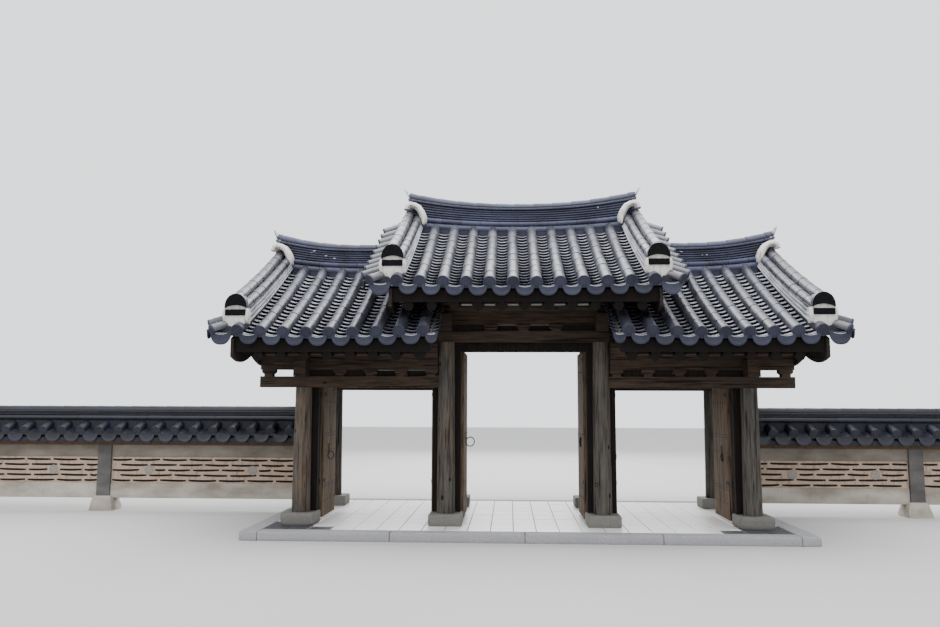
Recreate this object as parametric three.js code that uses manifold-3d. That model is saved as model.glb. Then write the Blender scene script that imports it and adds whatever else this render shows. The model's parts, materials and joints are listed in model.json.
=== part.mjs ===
// Three-bay Korean gate with a raised centre roof and tile-capped flanking walls.
// Millimetres, +Z up. The origin is on the ground in the middle of the gate:
// +X runs to the right along the front, +Y runs to the rear.

import * as THREE from 'three';
import { mergeVertices } from 'three/addons/utils/BufferGeometryUtils.js';
import Module from 'manifold-3d';

const wasm = await Module();
wasm.setup();

// Setting out, in feet of the old Korean measure
const JA = 303;
const CENTRE_BAY = 8 * JA;
const SIDE_BAY = 7.5 * JA;
const DEPTH = 8 * JA;
const INNER_X = CENTRE_BAY / 2;
const OUTER_X = INNER_X + SIDE_BAY;
const ROW_Y = DEPTH / 2;
const RISE = 716;

// Running gap between pieces that rest on each other, and bite of pieces joined into one
const GAP = 0.3;
const BITE = 5;
const WELD = 1e-3;

// Platform
const PLATFORM_TOP = 130;
const PLATFORM_HALF_X = 4160;
const PLATFORM_FRONT = ROW_Y + 940;
const PLATFORM_REAR = ROW_Y + 1000;
const KERB = 270;

// Columns and their base stones
const STONE = 515;
const STONE_H = 177;
const STONE_CHAMFER = 28;
const COLUMN_FOOT_R = 145;
const COLUMN_HEAD_R = 129;
const COLUMN_SIDES = 20;
const COLUMN_FOOT = PLATFORM_TOP + STONE_H + GAP;

// Timbers over the columns of a side bay; the centre bay's lie RISE higher
const BEAM_BOTTOM = PLATFORM_TOP + 2107;
const BEAM_H = 173;
const BEAM_W = 150;
const BLOCK_H = 105;
const BLOCK_TOP_W = 205;
const BLOCK_FOOT_W = 130;
const BLOCK_DEPTH = 150;
const BLOCK_NECK = 0.35;
const BLOCK_FLARE = 0.6;
const SIDE_BLOCK_FIRST = 1445;
const SIDE_BLOCK_PITCH = 485;
const SIDE_BLOCK_COUNT = 4;
const END_BLOCK_OUT = 560;
const CENTRE_BLOCK_PITCH = 515;
const BEARER_H = 200;
const BEARER_W = 110;
const PURLIN_R = 145;
const PURLIN_SEAT = 12;
const LOG_SIDES = 12;
const BEAM_HEAD_REACH = 330;
const BEAM_HEAD_W = 190;
const BEAM_HEAD_H = 250;
const TIMBER_END_X = 690;
const SCRIBE_ROOM = 6;
const CROSSBEAM_H = 267;
const CROSSBEAM_Z = BEAM_BOTTOM + BEAM_H + 25;
const HEAD_BACK = 90;
const TIE_SHIFT = 48;
const CROSSBEAM_W = 210;
const POST_THICK = 120;
const POST_FOOT_W = 620;
const POST_HEAD_W = 330;
const POST_SHOULDER = 90;
const RIDGE_PURLIN_R = 110;

// Rafters and the deck over them
const RAFTER_R = 74;
const RAFTER_SLOPE = 0.32;
const RAFTER_REACH = 1310;
const RAFTER_SIDES = 8;
const RAFTER_SINK = 16;
const RAFTER_ROOM = 1;
const EAVE_BOARD_REACH = 1345;
const SIDE_ROOF_ROOM = 8;

// Tiled roof surface: height of the cover tiles' middle line over the eave
const TILE_PITCH = 333.6;
const EAVE_REACH = 1420;
const EAVE_Z = PLATFORM_TOP + 2858;
const EAVE_SLOPE = 0.4305;
const SLOPE_GAIN = 0.0302e-3;
const EAVE_LIFT = 35;
const RIDGE_LIFT = 100;
const TILE_GUTTER = -50;
const TILE_UNDER = -140;
const TILE_MIDDLE = (TILE_GUTTER + TILE_UNDER) / 2;
const TILE_ROW_HALF = 88;
const TILE_ROW_CREST = 80;
const TILE_ROW_FLAT = 48;
const CENTRE_ROW_COUNT = 12;
const SIDE_ROW_COUNT = 9;
const SIDE_ROW_FIRST = 1451;
const VERGE_EDGE = 0;
const VERGE_FOOT = 60;
const VERGE_REACH = 1116;
const SIDE_MID_X = (INNER_X + OUTER_X) / 2 + 430;
const SIDE_LIFT_RUN = 1420;
const SIDE_CREST_RUN = 1530;
const CENTRE_RUN = 1950;
const SLOPE_STEPS = 12;
const WIDTH_STEPS = 4;
const RIDGE_STEPS = 10;

// Descending ridges along the verges
const HIP_W = 330;
const HIP_H = 340;
const HIP_GAIN = 120;
const HIP_SHOULDER = 0.7;
const HIP_SINK = 80;
const HIP_INSET = 430;
const HIP_END = 1300;

// Main ridges, with raised ends
const RIDGE_W = 300;
const RIDGE_TOP_W = 170;
const RIDGE_H = 415;
const RIDGE_SINK = 150;
const RIDGE_HOLLOW = 60;
const RIDGE_SHOULDER = 110;
const RIDGE_END_LIFT = 195;
const RIDGE_LIFT_POWER = 2.2;
const RIDGE_REACH = 860;

// Gable boards with a scalloped foot
const BOARD_T = 45;
const BOARD_FOOT = PLATFORM_TOP + 2452;
const SCALLOP_H = 150;
const SCALLOP_HALF = 565;
const SCALLOP_POWER = 1.7;
const SCALLOP_STEPS = 40;
const BOARD_REACH = 1385;
const TILE_ROW_ROOM = 105;
const DECK_ROOM = 60;

// Room that the side roofs leave for the centre roof's timbers
const ROOM_X = 3;
const ROOM_Y = 20;
const ROOM_UNDER = 55;
const SKY = PLATFORM_TOP + 6000;

// Door frames and leaves
const FRAME_FRONT = 100;
const FRAME_BACK = 265;
const JAMB_INNER = 220;
const JAMB_OUTER = 40;
const SIDE_HEAD_BOTTOM = PLATFORM_TOP + 2115;
const SIDE_HEAD_TOP = PLATFORM_TOP + 2235;
const CENTRE_HEAD_BOTTOM = PLATFORM_TOP + 2682;
const CENTRE_HEAD_TOP = PLATFORM_TOP + 2800;
const LEAF_T = 50;
const LEAF_LAP = 15;
const LEAF_CLEAR = 6;
const LEAF_FOOT = PLATFORM_TOP + 45;
const PIVOT_OUT = 10;
const PIVOT_SIDE = 5;
const KNUCKLE_R = 9;
const KNUCKLE_H = 70;
const KNUCKLE_SIDES = 10;
const STRAP_REACH = 60;
const LUG_H = 40;
const LUG_T = 16;
const LUG_ROOT = 10;
const HINGE_FROM_FOOT = 540;
const HINGE_FROM_TOP = 160;

// Flanking walls
const WALL_Y = ROW_Y;
const WALL_START = OUTER_X + COLUMN_FOOT_R + 1;
const WALL_BAYS = { left: [4180, 4180], right: [3420, 3420] };
const POST_W = 255;
const FOOTING_W = 600;
const FOOTING_TOP_W = 400;
const FOOTING_H = 205;
const FOOT_BEAM_Z = [224, 500];
const TOP_BEAM_Z = [985, 1205];
const WALL_BEAM_T = 210;
const PANEL_T = 170;
const CAP_PLATE_HALF = 150;
const CAP_HALF = 330;
const CAP_EAVE_Z = [1262, 1400];
const CAP_RIDGE_HALF = 105;
const CAP_RIDGE_Z = [1600, 1840];
const CAP_TOP_HALF = 60;
const CAP_TOP_Z = 1930;
const CAP_END = 90;

// Solids from closed meshes, and back
function solid(geometry) {
  const bare = geometry.index ? geometry.clone() : mergeVertices(geometry);
  bare.deleteAttribute('normal');
  bare.deleteAttribute('uv');
  const merged = mergeVertices(bare, WELD);
  return new wasm.Manifold(new wasm.Mesh({
    numProp: 3,
    vertProperties: new Float32Array(merged.attributes.position.array),
    triVerts: new Uint32Array(merged.index.array),
  }));
}

function geometryOf(manifold) {
  const mesh = manifold.getMesh();
  const geometry = new THREE.BufferGeometry();
  geometry.setAttribute('position', new THREE.BufferAttribute(mesh.vertProperties, 3));
  geometry.setIndex(new THREE.BufferAttribute(mesh.triVerts, 1));
  geometry.computeVertexNormals();
  return geometry;
}

function join(geometries) {
  return geometryOf(geometries.map(solid).reduce((all, next) => all.add(next)));
}

function cut(geometry, tools) {
  return geometryOf(tools.map(solid).reduce((body, tool) => body.subtract(tool), solid(geometry)));
}

// A box between two corners
function block([x0, x1], [y0, y1], [z0, z1]) {
  const box = new THREE.BoxGeometry(Math.abs(x1 - x0), Math.abs(y1 - y0), Math.abs(z1 - z0));
  return box.translate((x0 + x1) / 2, (y0 + y1) / 2, (z0 + z1) / 2);
}

// A closed skin over outlines of equal count, each placed in space by its own function
function loft(outlines, place) {
  const count = outlines[0].length;
  const points = outlines.flatMap((outline, i) => outline.map(([u, v]) => place(i, u, v)).flat());
  const faces = [];
  for (let i = 0; i + 1 < outlines.length; i += 1) {
    for (let k = 0; k < count; k += 1) {
      const a = i * count + k;
      const b = i * count + (k + 1) % count;
      faces.push([a, b, b + count], [a, b + count, a + count]);
    }
  }
  const last = (outlines.length - 1) * count;
  const flat = (outline) => outline.map(([u, v]) => new THREE.Vector2(u, v));
  const clockwise = THREE.ShapeUtils.isClockWise(flat(outlines[0]));
  const caps = [[outlines[0], 0, !clockwise], [outlines.at(-1), last, clockwise]];
  for (const [outline, offset, flip] of caps) {
    for (const face of THREE.ShapeUtils.triangulateShape(flat(outline), [])) {
      const [a, b, c] = face.map((i) => i + offset);
      faces.push(flip ? [a, c, b] : [a, b, c]);
    }
  }
  const geometry = new THREE.BufferGeometry();
  geometry.setAttribute('position', new THREE.Float32BufferAttribute(points, 3));
  geometry.setIndex(faces.flat());
  return signedVolume(geometry) < 0 ? inverted(geometry) : geometry;
}

function signedVolume(geometry) {
  const p = geometry.attributes.position;
  const [a, b, c] = [new THREE.Vector3(), new THREE.Vector3(), new THREE.Vector3()];
  let volume = 0;
  for (let i = 0; i < geometry.index.count; i += 3) {
    a.fromBufferAttribute(p, geometry.index.getX(i));
    b.fromBufferAttribute(p, geometry.index.getX(i + 1));
    c.fromBufferAttribute(p, geometry.index.getX(i + 2));
    volume += a.dot(b.cross(c)) / 6;
  }
  return volume;
}

function inverted(geometry) {
  const flipped = Array.from(geometry.index.array);
  for (let i = 0; i < flipped.length; i += 3) {
    [flipped[i + 1], flipped[i + 2]] = [flipped[i + 2], flipped[i + 1]];
  }
  geometry.setIndex(flipped);
  return geometry;
}

function steps(from, to, count) {
  return Array.from({ length: count + 1 }, (_, i) => from + (to - from) * i / count);
}

// An outline from its right half, drawn from foot to head
const mirrored = (half) => [...half, ...[...half].reverse().map(([u, w]) => [-u, w])];

// A plate whose outline is drawn in the Y-Z plane, from x0 to x1
function sidePlate(outline, x0, x1) {
  return loft([outline, outline], (i, y, z) => [i ? x1 : x0, y, z]);
}

// A plate whose outline is drawn in the X-Z plane, from y0 to y1
function frontPlate(outline, y0, y1) {
  return loft([outline, outline], (i, x, z) => [x, i ? y1 : y0, z]);
}

// A round log lying between two points
function log(radius, from, to, sides) {
  const start = new THREE.Vector3(...from);
  const axis = new THREE.Vector3(...to).sub(start);
  const cylinder = new THREE.CylinderGeometry(radius, radius, axis.length(), sides);
  const upY = new THREE.Vector3(0, 1, 0);
  const turn = new THREE.Quaternion().setFromUnitVectors(upY, axis.clone().normalize());
  return cylinder.applyQuaternion(turn).translate(...start.addScaledVector(axis, 0.5).toArray());
}

// Materials
const finish = (color, roughness) => new THREE.MeshStandardMaterial({ color, roughness, metalness: 0 });
const TIMBER = finish('#6b5443', 0.8);
const DOOR_TIMBER = finish('#4f3d31', 0.8);
const TILE = finish('#50535c', 0.6);
const GRANITE = finish('#b3b0aa', 0.85);
const PAVING = finish('#cfcdc8', 0.85);
const CONCRETE = finish('#a39b8d', 0.9);
const PLASTER = finish('#b99f86', 0.9);

const gate = new THREE.Group();

function add(name, geometry, material, group = gate) {
  const mesh = new THREE.Mesh(geometry, material);
  mesh.name = name;
  group.add(mesh);
  return mesh;
}

// The platform: a ring of kerbstones round a paved floor
function platform() {
  const x = [-PLATFORM_HALF_X, PLATFORM_HALF_X];
  const y = [-PLATFORM_FRONT, PLATFORM_REAR];
  const shrink = ([a, b], by) => [a + by, b - by];
  const hollow = block(shrink(x, KERB), shrink(y, KERB), [-PLATFORM_TOP, 2 * PLATFORM_TOP]);
  const floor = [x, y].map((side) => shrink(side, KERB + GAP));
  add('kerb_ring', cut(block(x, y, [0, PLATFORM_TOP]), [hollow]), GRANITE);
  add('paved_floor', block(...floor, [0, PLATFORM_TOP]), PAVING);
}

// A square base stone; the centre ones are chamfered round the foot
function baseStone(x, y, chamfer) {
  const half = STONE / 2;
  const square = (r) => [[-r, -r], [r, -r], [r, r], [-r, r]];
  const foot = PLATFORM_TOP + GAP;
  const rings = chamfer ? [half - chamfer, half, half] : [half, half];
  const heights = chamfer ? [0, chamfer, STONE_H - GAP] : [0, STONE_H - GAP];
  return loft(rings.map(square), (i, u, v) => [x + u, y + v, foot + heights[i]]);
}

function column(x, y, top, spare = 0) {
  const height = top - COLUMN_FOOT;
  const radii = [COLUMN_HEAD_R + spare, COLUMN_FOOT_R + spare];
  const shaft = new THREE.CylinderGeometry(...radii, height, COLUMN_SIDES);
  return shaft.rotateX(Math.PI / 2).translate(x, y, COLUMN_FOOT + height / 2);
}

function columns() {
  for (const [row, y] of [['front', -ROW_Y], ['rear', ROW_Y]]) {
    for (const [side, sign] of [['left', -1], ['right', 1]]) {
      const outerTop = BEAM_BOTTOM - GAP;
      const innerTop = BEAM_BOTTOM + RISE - GAP;
      add(`base_stone_${row}_${side}_outer`, baseStone(sign * OUTER_X, y, 0), GRANITE);
      add(`base_stone_${row}_${side}_inner`, baseStone(sign * INNER_X, y, STONE_CHAMFER), GRANITE);
      add(`column_${row}_${side}_outer`, column(sign * OUTER_X, y, outerTop), TIMBER);
      add(`column_${row}_${side}_inner`, column(sign * INNER_X, y, innerTop), TIMBER);
    }
  }
}

// Beam, bearing blocks, bearer, purlin and beam heads along one row of columns
function beamLine({ beam, timber, blocks, heads, y, lift }) {
  const z = BEAM_BOTTOM + lift;
  const blockZ = z + BEAM_H;
  const bearerZ = blockZ + BLOCK_H;
  const purlinZ = bearerZ + BEARER_H + PURLIN_R - PURLIN_SEAT;
  const out = Math.sign(y);
  const pieces = [block(beam, [y - BEAM_W / 2, y + BEAM_W / 2], [z, blockZ])];
  for (const x of blocks) {
    const [f, t] = [BLOCK_FOOT_W / 2, BLOCK_TOP_W / 2];
    const half = [[f, blockZ - BITE], [f, blockZ + BLOCK_H * BLOCK_NECK],
      [t, blockZ + BLOCK_H * BLOCK_FLARE], [t, bearerZ + BITE]];
    const shape = mirrored(half).map(([u, w]) => [x + u, w]);
    pieces.push(frontPlate(shape, y - BLOCK_DEPTH / 2, y + BLOCK_DEPTH / 2));
  }
  pieces.push(block(timber, [y - BEARER_W / 2, y + BEARER_W / 2], [bearerZ, bearerZ + BEARER_H]));
  pieces.push(log(PURLIN_R, [timber[0], y, purlinZ], [timber[1], y, purlinZ], LOG_SIDES));
  for (const x of heads) {
    const [y0, y1] = [y - out * HEAD_BACK, y + out * BEAM_HEAD_REACH];
    const x0 = Math.max(x - BEAM_HEAD_W / 2, timber[0]);
    const x1 = Math.min(x + BEAM_HEAD_W / 2, timber[1]);
    pieces.push(block([x0, x1], [y0, y1], [blockZ - BITE, blockZ + BEAM_HEAD_H]));
  }
  return join(pieces);
}

const PURLIN_Z = BEAM_BOTTOM + BEAM_H + BLOCK_H + BEARER_H + PURLIN_R - PURLIN_SEAT;
const SIDE_BLOCKS = steps(0, SIDE_BLOCK_COUNT - 1, SIDE_BLOCK_COUNT - 1)
  .map((k) => SIDE_BLOCK_FIRST + SIDE_BLOCK_PITCH * k);
const CENTRE_BLOCKS = [-CENTRE_BLOCK_PITCH, 0, CENTRE_BLOCK_PITCH];

function beamLines() {
  for (const [row, y] of [['front', -ROW_Y], ['rear', ROW_Y]]) {
    for (const [side, sign] of [['left', -1], ['right', 1]]) {
      const outer = sign * (OUTER_X + TIMBER_END_X);
      const span = (inner) => [Math.min(sign * inner, outer), Math.max(sign * inner, outer)];
      const blocks = [...SIDE_BLOCKS, OUTER_X + END_BLOCK_OUT].map((x) => sign * x);
      const beam = span(INNER_X + COLUMN_HEAD_R / 2);
      const timber = span(INNER_X + COLUMN_HEAD_R + SCRIBE_ROOM);
      const line = beamLine({ beam, timber, blocks, heads: [sign * OUTER_X], y, lift: 0 });
      const shaft = column(sign * INNER_X, y, BEAM_BOTTOM + RISE - GAP, GAP);
      add(`beam_line_${row}_${side}`, cut(line, [shaft]), TIMBER);
    }
    const beam = [-INNER_X - COLUMN_HEAD_R, INNER_X + COLUMN_HEAD_R];
    const timber = [-INNER_X - TIMBER_END_X, INNER_X + TIMBER_END_X];
    const heads = [-INNER_X, INNER_X];
    const line = beamLine({ beam, timber, blocks: CENTRE_BLOCKS, heads, y, lift: RISE });
    add(`beam_line_${row}_centre`, line, TIMBER);
  }
}

// Rafter axis height at a distance out from the column row
const SLANT = Math.hypot(1, RAFTER_SLOPE);
const rafterZ = (reach) => PURLIN_Z + (PURLIN_R + RAFTER_R + RAFTER_ROOM) * SLANT - RAFTER_SLOPE * reach;
const deckUnderZ = (reach) => rafterZ(reach) + RAFTER_R * SLANT - RAFTER_SINK;
const RIDGE_PURLIN_Z = rafterZ(-ROW_Y) - (RIDGE_PURLIN_R + RAFTER_R + RAFTER_ROOM) * SLANT;

// Crossbeams with their king posts, and the ridge purlin on them
function ridgeFrame({ beams, posts, purlin, lift }) {
  const half = ROW_Y - HEAD_BACK - GAP;
  const top = CROSSBEAM_Z + CROSSBEAM_H + lift;
  const z = RIDGE_PURLIN_Z + lift;
  const depth = [top - CROSSBEAM_H, top];
  const pieces = beams.map((x) => block([x - CROSSBEAM_W / 2, x + CROSSBEAM_W / 2], [-half, half], depth));
  for (const x of posts) {
    const [f, h] = [POST_FOOT_W / 2, POST_HEAD_W / 2];
    const shape = mirrored([[f, top - BITE], [f, top + POST_SHOULDER], [h, z]]);
    pieces.push(sidePlate(shape, x - POST_THICK / 2, x + POST_THICK / 2));
  }
  pieces.push(log(RIDGE_PURLIN_R, [purlin[0], 0, z], [purlin[1], 0, z], LOG_SIDES));
  return join(pieces);
}

function ridgeFrames() {
  for (const [side, sign] of [['left', -1], ['right', 1]]) {
    const inner = INNER_X + CROSSBEAM_W / 2 + GAP;
    const ends = [sign * inner, sign * (OUTER_X + TIMBER_END_X)];
    const purlin = [Math.min(...ends), Math.max(...ends)];
    const beams = [sign * (INNER_X + TIE_SHIFT), sign * OUTER_X];
    const posts = [sign * (inner + POST_THICK / 2), sign * OUTER_X];
    const frame = ridgeFrame({ beams, posts, purlin, lift: 0 });
    const shafts = [-ROW_Y, ROW_Y].map((y) => column(sign * INNER_X, y, BEAM_BOTTOM + RISE, GAP));
    add(`ridge_frame_${side}`, cut(frame, shafts), TIMBER);
  }
  const purlin = [-INNER_X - TIMBER_END_X, INNER_X + TIMBER_END_X];
  const columnsAt = [-INNER_X, INNER_X];
  add('ridge_frame_centre', ridgeFrame({ beams: columnsAt, posts: columnsAt, purlin, lift: RISE }), TIMBER);
}

// Roof surface over one roof: middle x, half run of the end lift, height over a side roof
function surfaceZ(roof, x, y) {
  const t = ROW_Y + EAVE_REACH - Math.abs(y);
  const s = (x - roof.mid) / roof.run;
  const up = t / (ROW_Y + EAVE_REACH);
  const lift = (EAVE_LIFT + (RIDGE_LIFT - EAVE_LIFT) * up) * s * s;
  return EAVE_Z + roof.lift + EAVE_SLOPE * t + SLOPE_GAIN * t * t + lift;
}

const EAVE_INNER = INNER_X + COLUMN_HEAD_R + SIDE_ROOF_ROOM;
const VERGE = { side: OUTER_X + VERGE_REACH, centre: INNER_X + VERGE_REACH };
const SIDE_ROOF = { lift: 0, run: SIDE_LIFT_RUN, crestRun: SIDE_CREST_RUN, rafter: 0.5 };
const CENTRE_ROOF = { lift: RISE, run: CENTRE_RUN, crestRun: CENTRE_RUN, rafter: 0 };
const rowsFrom = (first, count) => Array.from({ length: count }, (_, i) => first + i * TILE_PITCH);
const SIDE_ROWS = rowsFrom(SIDE_ROW_FIRST, SIDE_ROW_COUNT);
const CENTRE_ROWS = rowsFrom((1 - CENTRE_ROW_COUNT) * TILE_PITCH / 2, CENTRE_ROW_COUNT);
const ROOFS = {
  left: {
    ...SIDE_ROOF,
    mid: -SIDE_MID_X,
    x: [-VERGE.side, -EAVE_INNER],
    rows: SIDE_ROWS.map((x) => -x).reverse(),
    verges: [true, false],
  },
  centre: {
    ...CENTRE_ROOF,
    mid: 0,
    x: [-VERGE.centre, VERGE.centre],
    rows: CENTRE_ROWS,
    verges: [true, true],
  },
  right: {
    ...SIDE_ROOF,
    mid: SIDE_MID_X,
    x: [EAVE_INNER, VERGE.side],
    rows: SIDE_ROWS,
    verges: [false, true],
  },
};

// The bed of tiles over both slopes: rows of cover tiles with gutters between, and plain verges
function tileBed(roof) {
  const edge = ROW_Y + EAVE_REACH;
  const ys = steps(-edge, edge, SLOPE_STEPS);
  const row = [
    [-TILE_ROW_HALF, TILE_GUTTER],
    [-TILE_ROW_FLAT, TILE_ROW_CREST],
    [TILE_ROW_FLAT, TILE_ROW_CREST],
    [TILE_ROW_HALF, TILE_GUTTER],
  ];
  const rows = roof.rows.flatMap((x) => row.map(([u, v]) => [x + u, v]));
  const [left, right] = roof.verges;
  rows[0][1] = left ? VERGE_FOOT : TILE_GUTTER;
  rows.at(-1)[1] = right ? VERGE_FOOT : TILE_GUTTER;
  const ends = roof.verges.map((verge, i) => [roof.x[i], verge ? VERGE_EDGE : TILE_GUTTER]);
  const under = steps(roof.x[1], roof.x[0], WIDTH_STEPS).map((x) => [x, TILE_UNDER]);
  const section = [ends[0], ...rows, ends[1], ...under];
  const outline = (y) => section.map(([x, v]) => [x, surfaceZ(roof, x, y) + v]);
  return loft(ys.map(outline), (i, x, z) => [x, ys[i], z]);
}

// A descending ridge over one verge, from eave to eave under the main ridge
function hipRidge(roof, x) {
  const edge = ROW_Y + HIP_END;
  const ys = steps(-edge, edge, SLOPE_STEPS);
  const outline = (y) => {
    const top = HIP_H + HIP_GAIN * Math.abs(y) / edge;
    const half = [[HIP_W / 2, -HIP_SINK], [HIP_W / 2, top * HIP_SHOULDER], [HIP_W / 4, top]];
    return mirrored(half).map(([u, v]) => [x + u, surfaceZ(roof, x, y) + v]);
  };
  return loft(ys.map(outline), (i, u, z) => [u, ys[i], z]);
}

// Rafters in pairs from eave to ridge, carrying the boarded deck
function deck(roof, x0, x1, bed) {
  const edge = ROW_Y + EAVE_BOARD_REACH;
  const ys = steps(-edge, edge, SLOPE_STEPS);
  const xs = steps(x0, x1, WIDTH_STEPS);
  const under = (y) => deckUnderZ(Math.abs(y) - ROW_Y) + roof.lift;
  const inBed = (x) => ys.map((y) => [y, surfaceZ(roof, x, y) + TILE_MIDDLE]);
  const outline = (x) => [...inBed(x), ...[edge, 0, -edge].map((y) => [y, under(y)])];
  const pieces = [loft(xs.map(outline), (i, y, z) => [xs[i], y, z])];
  const first = Math.ceil((x0 + RAFTER_R) / TILE_PITCH - roof.rafter);
  for (let x = (first + roof.rafter) * TILE_PITCH; x <= x1 - RAFTER_R; x += TILE_PITCH) {
    for (const sign of [-1, 1]) {
      const foot = [x, sign * (ROW_Y + RAFTER_REACH), rafterZ(RAFTER_REACH) + roof.lift];
      pieces.push(log(RAFTER_R, foot, [x, 0, rafterZ(-ROW_Y) + roof.lift], RAFTER_SIDES));
    }
  }
  return cut(join(pieces), [bed.clone().translate(0, 0, -GAP)]);
}

// Room that the centre roof's timbers need through the inner ends of the side roofs
function centreRoom() {
  const x = INNER_X + TIMBER_END_X + BOARD_T + ROOM_X;
  const y = ROW_Y + PURLIN_R + ROOM_Y;
  const under = (v) => deckUnderZ(Math.abs(v) - ROW_Y) + ROOM_UNDER;
  const outline = [[-y, under(y)], [0, under(0)], [y, under(y)], [y, SKY], [-y, SKY]];
  return sidePlate(outline, -x, x);
}

// The main ridge, seated over the tiles and the heads of the descending ridges
function mainRidge(roof, x0, x1, under) {
  const xs = steps(x0, x1, RIDGE_STEPS);
  const [w, t] = [RIDGE_W / 2, RIDGE_TOP_W / 2];
  const foot = surfaceZ(roof, roof.mid, 0);
  const outline = (x) => {
    const lift = RIDGE_END_LIFT * (Math.abs(x - roof.mid) / roof.crestRun) ** RIDGE_LIFT_POWER;
    const top = foot + RIDGE_H + lift;
    const low = surfaceZ(roof, x, 0) - RIDGE_SINK;
    return [...mirrored([[w, low], [w, top - RIDGE_SHOULDER], [t, top]]), [0, low + RIDGE_HOLLOW]];
  };
  const body = loft(xs.map(outline), (i, y, z) => [xs[i], y, z]);
  return cut(body, [under.clone().translate(0, 0, GAP)]);
}

// A board closing a gable, hung under the verge, its foot cut in round scallops
function gableBoard(roof, x0, tiles, clear) {
  const edge = ROW_Y + BOARD_REACH;
  const head = (y) => [y, surfaceZ(roof, x0, y) + TILE_MIDDLE];
  const top = steps(-edge, edge, SLOPE_STEPS).map(head);
  const foot = steps(edge, -edge, SCALLOP_STEPS).map((y) => {
    const turn = y / SCALLOP_HALF / 2;
    const rise = SCALLOP_H * Math.abs(2 * (turn - Math.round(turn))) ** SCALLOP_POWER;
    return [y, Math.max(BOARD_FOOT + roof.lift + rise, clear(y))];
  });
  const board = sidePlate([...top, ...foot], x0, x0 + BOARD_T);
  return cut(board, [tiles.clone().translate(0, 0, -GAP)]);
}

function roofs() {
  const room = centreRoom();
  const boardX = TIMBER_END_X + GAP;
  const centre = ROOFS.centre;
  const reach = INNER_X + TIMBER_END_X;
  const hips = [-1, 1].map((sign) => hipRidge(centre, sign * (VERGE.centre - HIP_INSET)));
  const centreBed = tileBed(centre);
  const centreTiles = join([centreBed, ...hips]);
  add('roof_deck_centre', deck(centre, -reach, reach, centreBed), TIMBER);
  add('roof_tiles_centre', centreTiles, TILE);
  const crest = [-INNER_X - RIDGE_REACH, INNER_X + RIDGE_REACH];
  add('main_ridge_centre', mainRidge(centre, ...crest, centreTiles), TILE);
  for (const [side, sign] of [['left', -1], ['right', 1]]) {
    const roof = ROOFS[side];
    const span = (inner, outer) => [sign * inner, sign * outer].sort((a, b) => a - b);
    const bed = tileBed(roof);
    const hip = hipRidge(roof, sign * (VERGE.side - HIP_INSET));
    const tiles = join([bed, hip]);
    const deckX = span(EAVE_INNER, OUTER_X + TIMBER_END_X);
    const ridgeX = span(reach + BOARD_T + 2 * GAP, OUTER_X + RIDGE_REACH);
    const leftFace = (x) => (sign < 0 ? -x - BOARD_T : x);
    const overTiles = (y) => surfaceZ(roof, sign * reach, y) + TILE_ROW_ROOM;
    const overDeck = (y) => deckUnderZ(Math.abs(y) - ROW_Y) + DECK_ROOM;
    const clear = (y) => (Math.abs(y) > ROW_Y ? overTiles(y) : overDeck(y));
    add(`roof_deck_${side}`, cut(deck(roof, ...deckX, bed), [room]), TIMBER);
    add(`roof_tiles_${side}`, cut(tiles, [room]), TILE);
    add(`main_ridge_${side}`, mainRidge(roof, ...ridgeX, tiles), TILE);
    const outer = gableBoard(roof, leftFace(OUTER_X + boardX), bed, () => 0);
    const inner = gableBoard(centre, leftFace(INNER_X + boardX), centreBed, clear);
    add(`gable_board_${side}_outer`, outer, TIMBER);
    add(`gable_board_${side}_inner`, inner, TIMBER);
  }
}

// Door bays: middle x, half the distance between column axes, height of the frame's head
const SIDE_DOOR = { half: SIDE_BAY / 2, head: [SIDE_HEAD_BOTTOM, SIDE_HEAD_TOP] };
const BAYS = {
  left: { ...SIDE_DOOR, mid: -(INNER_X + OUTER_X) / 2 },
  centre: { mid: 0, half: CENTRE_BAY / 2, head: [CENTRE_HEAD_BOTTOM, CENTRE_HEAD_TOP] },
  right: { ...SIDE_DOOR, mid: (INNER_X + OUTER_X) / 2 },
};
const FRAME_Y = [-ROW_Y + FRAME_FRONT, -ROW_Y + FRAME_BACK];
const PIVOT_Y = FRAME_Y[1] + LEAF_CLEAR + LEAF_T + PIVOT_OUT;
const pivotX = (bay) => bay.half - JAMB_INNER + LEAF_LAP + PIVOT_SIDE;
const leafTop = (bay) => bay.head[0] + LEAF_LAP;
const hingeHeights = (bay) => [LEAF_FOOT + HINGE_FROM_FOOT, leafTop(bay) - HINGE_FROM_TOP];

function upright(radius, x, y, z0, z1) {
  return log(radius, [x, y, z0], [x, y, z1], KNUCKLE_SIDES);
}

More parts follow.
